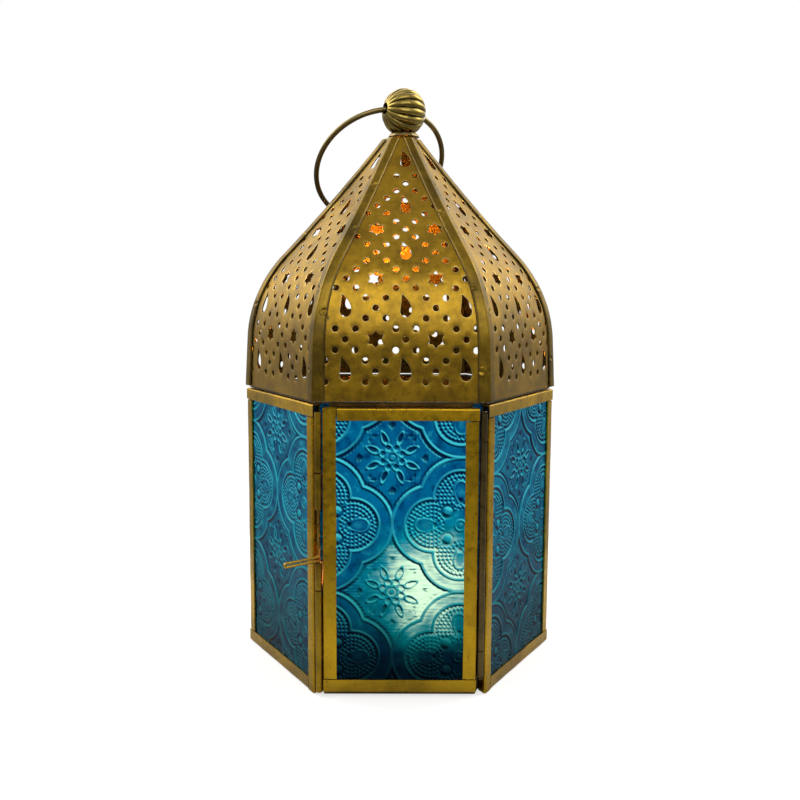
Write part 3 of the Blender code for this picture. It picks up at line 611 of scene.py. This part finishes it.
def all_panes():
    """The door's pane and the five fixed ones."""
    fixed_front = -APOTHEM + (CHANNEL_DEPTH - GLASS) / 2
    for label, side, _ in SIDES:
        pressed_pane(f"pressed_{label}_glass", side, FLOWERS[label], GLASS_HALF, 0.9, 94.6, fixed_front,
                     plain_glass, "lantern")
    pressed_pane("pressed_door_glass", 0, FLOWERS["door"], DOOR_HALF - DOOR_GLASS_EDGE,
                 DOOR_BOTTOM + DOOR_GLASS_EDGE, DOOR_TOP - DOOR_GLASS_EDGE, fixed_front - DOOR_PROUD,
                 lit_glass, "door")


# ---------------------------------------------------------------- folded channel and rolled tube

def rounded(path, radius, steps):
    """A flat path with each inner corner turned into an arc of the given radius."""
    out = [np.array(path[0], float)]
    for before, corner, after in zip(path, path[1:], path[2:]):
        before, corner, after = (np.array(p, float) for p in (before, corner, after))
        to_a = (before - corner) / np.linalg.norm(before - corner)
        to_b = (after - corner) / np.linalg.norm(after - corner)
        half = 0.5 * math.acos(float(np.clip(to_a @ to_b, -1, 1)))
        middle = (to_a + to_b) / np.linalg.norm(to_a + to_b)
        centre = corner + middle * radius / math.sin(half)
        sweep = math.pi / 2 - half
        side = np.array((-middle[1], middle[0]))
        if side @ to_a < 0:
            side = -side
        angles = np.linspace(sweep, -sweep, steps + 1)[:, None]
        out += list(centre + radius * (np.sin(angles) * side - np.cos(angles) * middle))
    out.append(np.array(path[-1], float))
    return np.array(out)


def folded(path, thickness):
    """Closed outline of a sheet of even thickness whose middle follows a flat path."""
    step = np.diff(path, axis=0)
    step /= np.linalg.norm(step, axis=1)[:, None]
    into = np.concatenate((step[:1], step))
    out = np.concatenate((step, step[-1:]))
    normal = np.stack((-(into + out)[:, 1], (into + out)[:, 0]), axis=-1)
    normal /= np.linalg.norm(normal, axis=1)[:, None]
    square = np.stack((-into[:, 1], into[:, 0]), axis=-1)
    reach = 0.5 * thickness / np.maximum(0.3, np.einsum("ij,ij->i", normal, square))[:, None]
    return np.concatenate((path + normal * reach, (path - normal * reach)[::-1]))


def edge_at(depth):
    """Half width of a panel at a depth behind its outer face, less the soldered gap."""
    return HALF_SIDE - SOLDERED - depth * TAN30


def channel_outline(inner, edge_front, edge_back):
    """U section in (across, depth), its web from the front edge to the back edge, its legs inwards."""
    back = CHANNEL_DEPTH - SHEET / 2
    path = [(inner, SHEET / 2), (edge_front, SHEET / 2), (edge_back, back), (inner, back)]
    return folded(rounded(path, FOLD_RADIUS, 6), SHEET)


def channel(node, side, across, depth, start, end, upright=False, body="lantern"):
    """A section of (across, depth) drawn from start to end, one number each or one for every section point.

    The sheet wavers a little along its length, as hand-folded strip does.
    """
    start, end = np.broadcast_to(start, across.shape), np.broadcast_to(end, across.shape)
    stations = int(np.max(np.abs(end - start)) / STATION) + 2
    t = np.linspace(0, 1, stations)[:, None]
    along = start + (end - start) * t
    seed = sum(ord(letter) for letter in node) % 97
    deep = depth + waver(along, seed, WAVER)
    wide = across + waver(along, seed + 5, WAVER)
    x, z = (wide, along) if upright else (along, wide)
    points = turned_to(np.stack((x, deep, np.maximum(z, 0.0)), axis=-1).reshape(-1, 3), side)
    new_piece(f"folded_{node}", points, tube_faces(stations, len(across)), [channel_brass], node, body,
              smooth=40)


def fixed_channels():
    """Long and short stile, top rail and bottom rail of the five fixed panels."""
    web = SHEET / 2 / COS30
    under_top = PANEL_TOP - TOP_FACE - GAP
    over_bottom = BOTTOM_FACE + GAP
    inner = edge_at(0) - STILE_FACE
    stile = channel_outline(inner, edge_at(SHEET / 2) - web, edge_at(CHANNEL_DEPTH - SHEET / 2) - web)
    top = channel_outline(0.0, TOP_FACE - SHEET / 2, TOP_FACE - SHEET / 2)
    bottom = channel_outline(0.0, BOTTOM_FACE - SHEET / 2, BOTTOM_FACE - SHEET / 2)
    for label, side, full in SIDES:
        deep = stile[:, 1] - APOTHEM
        channel(f"{label}_long_stile", side, full * stile[:, 0], deep, 0.0, under_top, True)
        channel(f"{label}_short_stile", side, -full * stile[:, 0], deep, over_bottom, under_top, True)
        mitre = edge_at(top[:, 1])
        channel(f"{label}_top_rail", side, PANEL_TOP - TOP_FACE + top[:, 0], top[:, 1] - APOTHEM, -mitre,
                mitre)
        mitre = edge_at(bottom[:, 1])
        stop = full * (inner - GAP)
        ends = (-mitre, stop) if full > 0 else (stop, mitre)
        channel(f"{label}_bottom_rail", side, BOTTOM_FACE - bottom[:, 0], bottom[:, 1] - APOTHEM, *ends)


def door_channels():
    """The door's square channels: stiles between or beside the rails as they are lapped."""
    face = channel_outline(0.0, STILE_FACE - SHEET / 2, STILE_FACE - SHEET / 2)
    top = channel_outline(0.0, TOP_FACE - SHEET / 2, TOP_FACE - SHEET / 2)
    deep = face[:, 1] - APOTHEM - DOOR_PROUD
    over_bottom = DOOR_BOTTOM + BOTTOM_FACE + GAP
    under_top = DOOR_TOP - TOP_FACE - GAP
    edge = DOOR_HALF - STILE_FACE + face[:, 0]
    channel("door_latch_stile", 0, -edge, deep, over_bottom, DOOR_TOP, True, "door")
    channel("door_hinge_stile", 0, edge, deep, over_bottom, under_top, True, "door")
    channel("door_top_rail", 0, DOOR_TOP - TOP_FACE + top[:, 0], top[:, 1] - APOTHEM - DOOR_PROUD,
            -DOOR_HALF + STILE_FACE + GAP, DOOR_HALF, body="door")
    channel("door_bottom_rail", 0, DOOR_BOTTOM + BOTTOM_FACE - face[:, 0], deep, -DOOR_HALF, DOOR_HALF,
            body="door")


def rolled_tubes():
    """Strips rolled round the hinge and latch axes, each with a flat tail against the door or the frame."""
    for node, sign, (low, high), body in TUBES:
        centre = np.array((sign * PIVOT_X, PIVOT_Y))
        on_door = body == "door"
        tail = np.array((0.0, 1.0)) if on_door else np.array((-0.5 * sign, COS30))
        outward = np.array((-tail[1], tail[0]))
        if (outward[0] * sign > 0) == on_door:
            outward = -outward
        angle = np.linspace(0, ROLL, 48)[:, None]
        curl = centre + BARREL * (np.cos(angle) * outward - np.sin(angle) * tail)
        path = np.concatenate(((centre + outward * BARREL + tail * TAB)[None, :], curl))
        outline = folded(path, BARREL_SHEET)
        levels = np.array((low, low + BARREL_END, high - BARREL_END, high))
        middle = path.mean(axis=0)
        shrink = np.array((0.985, 1.0, 1.0, 0.985))[:, None, None]
        flat = middle + (outline[None] - middle) * shrink
        z = np.broadcast_to(levels[:, None, None], (*flat.shape[:2], 1))
        points = np.concatenate((flat, z), axis=-1)
        # The hinge side's tubes take the dark brass as painted shade; the latch side's take the lighter tube
        # brass.
        new_piece(f"rolled_{node}", points, tube_faces(len(levels), len(outline)),
                  [dark_brass if sign > 0 else tube_brass], node, body, smooth=50)


def wire(path, radius, sides, closed):
    """A round section carried along a path; its first direction is a fixed one squared to each tangent."""
    ahead = np.roll(path, -1, axis=0) - np.roll(path, 1, axis=0)
    if not closed:
        ahead[0], ahead[-1] = path[1] - path[0], path[-1] - path[-2]
    ahead /= np.linalg.norm(ahead, axis=1)[:, None]
    spread = np.linalg.svd(path - path.mean(axis=0), full_matrices=False)[2]
    square = np.cross(ahead, spread[2])
    square /= np.linalg.norm(square, axis=1)[:, None]
    other = np.cross(ahead, square)
    angle = np.linspace(0, TURN, sides, endpoint=False)[None, :, None]
    radius = np.broadcast_to(radius, len(path))[:, None, None]
    return path[:, None] + radius * (np.cos(angle) * square[:, None] + np.sin(angle) * other[:, None])


def latch_bolt():
    """One wire: a leg up, a hairpin handle out to the side, and a leg down, all in one upright plane."""
    upper = LATCH_HANDLE_Z + LATCH_SPACING / 2
    lower = LATCH_HANDLE_Z - LATCH_SPACING / 2
    above = rounded([(0, LATCH_TOP), (0, upper), (LATCH_REACH, upper)], 0.9, 8)
    below = rounded([(LATCH_REACH, lower), (0, lower), (0, LATCH_END)], 0.55, 8)
    angle = np.linspace(0, math.pi, 12)[1:-1, None]
    tip = np.concatenate((LATCH_REACH + 0.5 * LATCH_SPACING * np.sin(angle),
                          LATCH_HANDLE_Z + 0.5 * LATCH_SPACING * np.cos(angle)), axis=1)
    flat = np.concatenate((above, tip, below))
    out = np.array((math.cos(LATCH_HEADING), math.sin(LATCH_HEADING)))
    path = np.concatenate((np.array((-PIVOT_X, PIVOT_Y)) + flat[:, :1] * out, flat[:, 1:]), axis=1)
    new_piece("bent_latch_bolt", wire(path, LATCH_WIRE, WIRE_SIDES, False), tube_faces(len(path), WIRE_SIDES),
              [bolt_brass], "latch_bolt", "latch_bolt", smooth=50)


# ---------------------------------------------------------------- dome

def skin(s, inset):
    """Apothem and height of the sheet, inset along its normal, at distances s up the outside of a gore.

    A straight skirt runs into an arc that leans further in, and then a long shallow arc that leans back.
    """
    first = np.clip(s, 0, SKIRT_LENGTH)
    apothem = DOME_APOTHEM - first * math.sin(SKIRT_LEAN)
    z = DOME_BOTTOM + first * math.cos(SKIRT_LEAN)
    lean = np.full(np.shape(s), SKIRT_LEAN)
    start = SKIRT_LENGTH
    for length, begin, end in ((SHOULDER_LENGTH, SKIRT_LEAN, FLARE_LEAN),
                               (FLARE_LENGTH, FLARE_LEAN, TIP_LEAN)):
        radius = length / (end - begin)
        turn = begin + np.clip(s - start, 0, length) / radius
        apothem = apothem - radius * (math.cos(begin) - np.cos(turn))
        z = z + radius * (np.sin(turn) - math.sin(begin))
        lean = lean + (turn - begin)
        start += length
    return apothem - inset * np.cos(lean), z - inset * np.sin(lean)


def star(u, s):
    """Six-point star with a point straight up, its points and notches slightly rounded."""
    angle = np.linspace(0, TURN, 36, endpoint=False)
    share = np.abs((angle / (TURN / 6)) % 1 - 0.5) * 2
    outer, inner = STAR
    tip = np.array((0.0, outer))
    notch = inner * np.array((math.sin(TURN / 12), math.cos(TURN / 12)))
    edge = notch[:, None] + (tip - notch)[:, None] * (0.06 + 0.88 * share)
    radius = np.hypot(*edge)
    bearing = np.arctan2(*edge)
    sector = np.round(angle / (TURN / 6))
    side = np.sign(angle / (TURN / 6) - sector)
    heading = sector * TURN / 6 + side * bearing
    return np.stack((u + radius * np.sin(heading), s + radius * np.cos(heading)), axis=-1)


def teardrop(u, s):
    """Leaf with its tip at the top left, an almost straight left side and a round bulb below."""
    turn = np.linspace(0, math.pi, 13)
    bulb = np.stack((u - 2.0 * np.cos(turn), s - 1.8 - 2.2 * np.sin(turn)), axis=-1)
    right = np.linspace(0.12, 0.94, 8)
    bow = np.stack((u + 2.0 - 3.3 * right ** 2.2, s - 1.8 + 5.9 * right), axis=-1)
    left = np.linspace(0.04, 0.9, 6)
    back = np.stack((u - 1.45 - 0.5 * left ** 1.5, s + 4.0 - 5.6 * left), axis=-1)
    return np.concatenate((bulb, bow, back))


def round_hole(u, s):
    """Circle of twenty points."""
    turn = np.linspace(0, TURN, 20, endpoint=False)
    return np.stack((u + HOLE_RADIUS * np.cos(turn), s + HOLE_RADIUS * np.sin(turn)), axis=-1)


def gore_holes():
    """Outlines of every hole of one gore on the flat sheet.

    Stars and teardrops stand on a lattice of columns and rows, and round holes run in diagonals round them.
    """
    holes = []
    for q in range(-1, 25):
        s = FIRST_ROW + ROW * q
        half = float(skin(s, 0)[0]) * TAN30
        for m in range(-8, 9):
            u = PATTERN_SHIFT + COLUMN * m
            if m in (-3, 3) and q in (3, 9, 15):
                holes.append(star(u, s))
            elif (m == 0 and q % 6 == 0) or (m in (-6, 6) and q in (0, 6)):
                holes.append(teardrop(u, s + 0.8))
            elif ((m + q) % 6 == 3 or (m - q) % 6 == 3) and q < 23 and abs(u) < half - 2.4:
                if abs(m) != 3 or q % 6 != 3:
                    holes.append(round_hole(u, s))
    return holes


def within(points, outline):
    """Whether each point is inside a closed outline: it is if a level ray crosses the outline oddly often."""
    x, y = points[:, :1], points[:, 1:]
    ax, ay = outline[None, :, 0], outline[None, :, 1]
    bx, by = np.roll(ax, -1), np.roll(ay, -1)
    spans = (ay > y) != (by > y)
    height = np.where(by == ay, 1.0, by - ay)
    return (spans & (x < ax + (y - ay) * (bx - ax) / height)).sum(axis=1) % 2 == 1


def gore_half(s):
    """Half width of a gore at distances s up it, less the mitre gap."""
    return skin(s, 0)[0] * TAN30 - MITRE_GAP


def pierced_sheet():
    """Triangles of one gore laid flat: its outline and holes are mesh edges, staggered points lie between."""
    rows = np.linspace(0, DOME_LENGTH, SHEET_ROWS)
    half = gore_half(rows)
    left = np.stack((-half, rows), axis=-1)
    right = np.stack((half, rows), axis=-1)
    count = len(rows)
    points = [*left, *right]
    edges = [(k, k + 1) for k in range(count - 1)] + [(count + k, count + k + 1) for k in range(count - 1)]
    edges += [(0, count), (count - 1, 2 * count - 1)]
    holes = gore_holes()
    u, v = np.meshgrid(np.arange(-27.0, 27.5, FILLING), rows[1:-1])
    u[::2] += FILLING / 2
    filling = np.stack((u.ravel(), v.ravel()), axis=-1)
    filling = filling[np.abs(filling[:, 0]) < gore_half(filling[:, 1]) - 0.5]
    marks = np.concatenate(holes)
    clear = np.min(np.hypot(filling[:, :1] - marks[None, :, 0], filling[:, 1:] - marks[None, :, 1]), axis=1)
    points += list(filling[clear > HOLE_CLEAR])
    for outline in holes:
        first = len(points)
        points += list(outline)
        edges += [(first + k, first + (k + 1) % len(outline)) for k in range(len(outline))]
    flat, _, triangles, _, _, _ = delaunay_2d_cdt([Vector(p) for p in points], edges, [], 0, 1e-5)
    flat = np.array([tuple(p) for p in flat])
    triangles = np.array([tuple(t) for t in triangles])
    middle = flat[triangles].mean(axis=1)
    keep = within(middle, np.concatenate((left, right[::-1])))
    for outline in holes:
        keep &= ~within(middle, outline)
    return flat, triangles[keep]


def pierced_gores():
    """Outer and inner skins of each gore, joined by a plain wall round it and a chamfered lip round each
    hole, paler as a painted highlight.

    The sheet sags by up to 0.1 mm in slow waves, as beaten sheet does.
    """
    flat, triangles = pierced_sheet()
    used, triangles = np.unique(triangles, return_inverse=True)
    flat, triangles = flat[used], triangles.reshape(-1, 3)
    pairs = np.concatenate((triangles[:, :2], triangles[:, 1:], triangles[:, ::2][:, ::-1]))
    key = pairs[:, 0] * len(flat) + pairs[:, 1]
    mirrored = pairs[:, 1] * len(flat) + pairs[:, 0]
    bounds = pairs[~np.isin(key, mirrored)]
    on_edge = np.abs(flat[:, 0]) > gore_half(flat[:, 1]) - 1e-4
    on_edge |= (flat[:, 1] < 1e-4) | (flat[:, 1] > DOME_LENGTH - 1e-4)
    outside = on_edge[bounds].all(axis=1)
    punched = bounds[~outside]
    step = flat[punched[:, 1]] - flat[punched[:, 0]]
    step /= np.linalg.norm(step, axis=1)[:, None]
    lean_in = np.zeros_like(flat)
    for column in (0, 1):
        np.add.at(lean_in, punched[:, column], np.stack((step[:, 1], -step[:, 0]), axis=-1))
    lean_in /= np.maximum(np.linalg.norm(lean_in, axis=1), 1e-9)[:, None]
    size = len(flat)
    hole_points = np.unique(punched)
    lip_number = np.full(size, -1)
    lip_number[hole_points] = 2 * size + np.arange(len(hole_points))

    def bent(at, inset):
        """Points on the bent sheet; the sheet narrows with its inset so that the mitres stay open."""
        apothem, z = skin(at[:, 1], inset)
        u = at[:, 0] * (apothem * TAN30 - MITRE_GAP) / gore_half(at[:, 1])
        return np.stack((u, -apothem, z), axis=-1)

    sag = 0.10 * np.sin(flat[:, 0] / 6.0 + 1.0) * np.sin(flat[:, 1] / 9.0)
    lip_flat = flat[hole_points] + LIP * lean_in[hole_points]
    points = np.concatenate((bent(flat, sag), bent(flat, sag + SHEET),
                             bent(lip_flat, sag[hole_points] + 0.05)))
    a, b = punched.T
    rim = np.stack((b, a, lip_number[a], lip_number[b]), axis=-1)
    wall = np.stack((lip_number[b], lip_number[a], size + a, size + b), axis=-1)
    c, d = bounds[outside].T
    side_wall = np.stack((d, c, size + c, size + d), axis=-1)
    quads = np.concatenate((rim, wall, side_wall))
    skins = np.concatenate((triangles, size + triangles[:, ::-1]))
    looks = np.concatenate((np.zeros(len(skins), int), np.ones(len(rim), int),
                            np.zeros(len(quads) - len(rim), int)))
    for side, label in enumerate(GORES):
        new_piece(f"pierced_gore_{label}", turned_to(points, side), [skins, quads], [gore_brass, lip_highlight_brass],
                  f"gore_{label}", smooth=25, face_looks=looks)


def creased_ribs():
    """Strips folded over the joints between gores.

    Across the strip the point runs along one gore's plane, over a tight rounded crease, and along the next.
    Its edges are dark and thin to a rounded lip, and its outside has punched dimples.
    """
    s = np.linspace(0, RIB_LENGTH, 300)[:, None]
    t = np.linspace(-1, 1, 41)[None, :]
    width = RIB_FLANGE[0] + (RIB_FLANGE[1] - RIB_FLANGE[0]) * s / RIB_LENGTH
    width = np.minimum(width + waver(s, 3, 0.08), skin(s, 0)[0] * TAN30 - 0.5)
    across = np.sign(t) * np.abs(t) ** 1.15 * width
    bend = np.sqrt(across ** 2 + RIB_CREASE ** 2)
    for side, label in enumerate(RIBS):
        layers = []
        for outside in (True, False):
            rise = np.zeros_like(across)
            if outside:
                rise = RIB_SHEET * (1 - 0.75 * np.abs(t) ** 14) + waver(s, side, 0.04)
                for at, where in DIMPLES:
                    at += 1.5 * math.sin(5 * side + at)
                    spot = ((s - at) ** 2 + (across - where * (width - 0.9)) ** 2) / 0.42
                    rise = rise - 0.32 * np.exp(-spot) + 0.14 * np.exp(-(np.sqrt(spot) - 1.7) ** 2 / 0.15)
            apothem, z = skin(s, -GAP - rise)
            one = 0.5 * (bend - across)
            other = 0.5 * (bend + across)
            x = apothem * TAN30 - one + 0.5 * other
            y = -apothem + COS30 * other
            layers.append(np.stack(np.broadcast_arrays(x, y, z), axis=-1))
        ring = np.concatenate((layers[0], layers[1][:, ::-1]), axis=1)
        rows, columns = ring.shape[:2]
        dark = np.isin(np.arange(columns), (0, columns // 2 - 2, columns // 2 - 1, columns - 1))
        looks = np.concatenate((np.tile(dark, rows - 1), (True, True))).astype(int)
        new_piece(f"creased_rib_{label}", turned_to(ring.reshape(-1, 3), side), tube_faces(rows, columns),
                  [rib_brass, dark_brass], f"rib_{label}", smooth=40, face_looks=looks)


# ---------------------------------------------------------------- finial

def finial_axes():
    """Unit vectors: towards the hanging ring's middle, square to it, and along the bead's bore."""
    bore = np.array((-math.cos(BEAD_YAW) * math.cos(BEAD_TILT), -math.sin(BEAD_YAW) * math.cos(BEAD_TILT),
                     math.sin(BEAD_TILT)))
    up = np.array((0.0, 0.0, 1.0)) - bore * bore[2]
    up /= np.linalg.norm(up)
    hang = up * math.cos(RING_DROP) + np.cross(bore, up) * math.sin(RING_DROP)
    return hang, np.cross(bore, hang), bore


def fluted_bead():
    """Ball turned about its bore, its radius dipping sharply between one rounded flute and the next."""
    hang, square, bore = finial_axes()
    end = math.asin(BEAD_BORE / BEAD_RADIUS)
    t = np.linspace(end, math.pi - end, 60)
    outer_along = BEAD_HALF * np.cos(t)
    bore_along = np.linspace(outer_along[-1], outer_along[0], 10)[1:-1]
    radius = np.concatenate((BEAD_RADIUS * np.sin(t), np.full_like(bore_along, BEAD_BORE)))
    along = np.concatenate((outer_along, bore_along))
    angle = np.linspace(0, TURN, FLUTES * 16, endpoint=False)[:, None]
    twist = angle + 0.05 * along / BEAD_HALF
    valley = 1 - np.abs(np.sin(0.5 * FLUTES * twist)) ** 0.55
    share = np.clip((radius - BEAD_BORE) / 2.5, 0, 1)
    r = 0.998 * radius - 0.95 * share * valley
    across = np.cos(angle)[..., None] * hang + np.sin(angle)[..., None] * square
    points = BEAD_CENTRE + r[..., None] * across + np.broadcast_to(along, r.shape)[..., None] * bore
    inside = np.concatenate((np.zeros_like(outer_along), np.ones_like(bore_along)))
    # Painted shade in the flutes' valleys and all through the bore.
    groove_shade = np.clip(valley * 1.3 * share + inside, 0, 1)
    new_piece("fluted_bead", points, [grid_faces(*r.shape, True, True)], [bead_brass], "finial_bead",
              smooth=80, values={"groove_shade": groove_shade})


def hanging_ring():
    """Round wire bent to a circle, very slightly out of true, through the bead's bore."""
    hang, _, bore = finial_axes()
    angle = np.linspace(0, TURN, 240, endpoint=False)[:, None]
    path = (BEAD_CENTRE + (RING_RADIUS - RING_OFFSET - RING_RADIUS * np.cos(angle)) * hang
            + RING_RADIUS * np.sin(angle) * bore)
    points = wire(path, RING_WIRE * (1 - 0.02 * np.sin(7 * angle[:, 0]) ** 2), 20, True)
    new_piece("wire_ring", points, [grid_faces(*points.shape[:2], True, True)], [ring_brass], "hanging_ring",
              "ring", smooth=60)


def solder_seat():
    """Lumpy collar of solder under the bead: a turned profile whose radius ripples round it."""
    inner_top, outer_top = (BEAD_CENTRE[2] - math.sqrt((BEAD_RADIUS + GAP) ** 2 - radius ** 2)
                            for radius in (SEAT_BORE, 4.6))
    profile = np.array(((SEAT_BORE, inner_top), (SEAT_BORE, SEAT_BOTTOM), (5.3, SEAT_BOTTOM),
                        (5.5, SEAT_BOTTOM + 0.2), (5.3, SEAT_BOTTOM + 0.7), (5.0, SEAT_BOTTOM + 1.1),
                        (4.6, outer_top)))
    angle = np.linspace(0, TURN, 96, endpoint=False)[:, None]
    lump = 1 + 0.02 * np.sin(5 * angle + 1) + 0.015 * np.sin(11 * angle)
    radius = np.minimum(profile[:, 0] * np.where(profile[:, 0] > SEAT_BORE, lump, 1.0), 5.6)
    x = BEAD_CENTRE[0] + radius * np.cos(angle)
    y = radius * np.sin(angle)
    z = np.broadcast_to(profile[:, 1], x.shape)
    new_piece("solder_seat", np.stack((x, y, z), axis=-1), [grid_faces(*x.shape, True, True)], [seat_brass],
              "finial_seat", smooth=60)


# ---------------------------------------------------------------- carried-over pieces

def finish_cad_pieces():
    """Looks for the CAD pieces whose shape is already right; the wick's sustainer keeps its plain metal."""
    looks = {"base_plate": dark_brass, "roof_ring": dark_brass, "hinge_pin": dark_brass,
             "tealight_cup": tealight_metal(), "tealight_wax": candle_wax(), "wick": charred_wick()}
    for node, look in looks.items():
        for material_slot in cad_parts[node].material_slots:
            material_slot.material = look


# ---------------------------------------------------------------- camera, lights and floor

def camera():
    """Level with the door's middle and a little above, far enough for an even perspective."""
    lens = bpy.data.cameras.new("camera")
    lens.lens = 43.38
    lens.sensor_width = 36.0
    lens.clip_start = 0.01
    target = Vector((0, 0, 91.2)) * MM
    distance, raised, yaw, roll = 353.2 * MM, math.radians(7.0), math.radians(-0.42), math.radians(0.3)
    back = Vector((math.sin(yaw) * math.cos(raised), -math.cos(yaw) * math.cos(raised), math.sin(raised)))
    thing = placed("camera", lens, target + back * distance)
    thing.rotation_euler = back.to_track_quat("Z", "Y").to_euler()
    thing.rotation_euler.rotate_axis("Z", roll)
    bpy.context.scene.camera = thing


def softbox(name, location, size, power):
    """Square white area light facing the middle of the lantern."""
    light = bpy.data.lights.new(name, "AREA")
    light.size = size
    light.energy = power
    aim = Vector(location) - Vector((0, 0, 0.1))
    placed(name, light, location).rotation_euler = aim.to_track_quat("Z", "Y").to_euler()


def surroundings():
    """White to the camera; to everything else dimmer in front, near the floor and straight overhead."""
    world = bpy.data.worlds.new("studio")
    bpy.context.scene.world = world
    world.use_nodes = True
    tree = world.node_tree
    shown = tree.nodes["Background"]
    fill(tree, shown, Color=(1, 1, 1), Strength=1.0)
    heading = add(tree, "ShaderNodeTexCoord").outputs["Generated"]
    heading = add(tree, "ShaderNodeSeparateXYZ", Vector=heading).outputs
    behind = span(tree, heading["Y"], -0.9, 0.7, 0.44, 1.0)
    above = span(tree, heading["Z"], -0.12, 0.3, 0.28, 1.0)
    overhead = span(tree, heading["Z"], 0.7, 0.98, 1.0, 0.55)
    strength = arithmetic(tree, behind, arithmetic(tree, above, overhead))
    around = add(tree, "ShaderNodeBackground", Color=(1, 0.99, 0.97), Strength=strength)
    seen = add(tree, "ShaderNodeLightPath").outputs["Is Camera Ray"]
    mix_surfaces(tree, seen, around.outputs["Background"], shown.outputs["Background"], "World Output")


def flame_light():
    """The candle's warm light, which rides with the tealight."""
    flame = bpy.data.lights.new("candle_flame", "POINT")
    flame.energy = 0.11
    flame.color = (1.0, 0.36, 0.09)
    flame.shadow_soft_size = 0.003
    thing = placed("candle_flame", flame, FLAME)
    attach(thing, "tealight")


def pale_floor():
    """Round pale floor, lit up for the camera only, so that its edge is lost in the white."""
    look, tree, shader = start_look("pale_floor")
    seen = add(tree, "ShaderNodeLightPath").outputs["Is Camera Ray"]
    tone = blend(tree, cloud(tree, object_place(tree), 6.0), (0.50, 0.50, 0.50), (0.53, 0.53, 0.53))
    fill(tree, shader, Base_Color=tone, Roughness=0.9, Emission_Color=(1, 1, 1),
         Emission_Strength=arithmetic(tree, seen, 0.66))
    angle = np.linspace(0, TURN, 96, endpoint=False)
    rim = np.stack((np.cos(angle), np.sin(angle), np.zeros_like(angle)), axis=-1) * FLOOR_RADIUS
    mesh = bpy.data.meshes.new("floor")
    mesh.from_pydata(rim, [], [range(len(rim))])
    mesh.materials.append(look)
    floor = placed("floor", mesh, (0, 0, -0.3 * MM))


all_panes()
fixed_channels()
door_channels()
rolled_tubes()
latch_bolt()
pierced_gores()
creased_ribs()
fluted_bead()
hanging_ring()
solder_seat()
finish_cad_pieces()
camera()
bpy.context.scene.view_settings.view_transform = "Standard"
surroundings()
for name, location, size, power in (("left_softbox", (-0.60, 0.12, 0.62), 0.5, 1.9),
                                    ("right_softbox", (0.60, 0.12, 0.62), 0.5, 1.9),
                                    ("front_softbox", (0.05, -0.62, 0.56), 0.55, 1.1),
                                    ("back_softbox", (0.0, 0.8, 0.6), 0.6, 1.5)):
    softbox(name, location, size, power)
flame_light()
pale_floor()
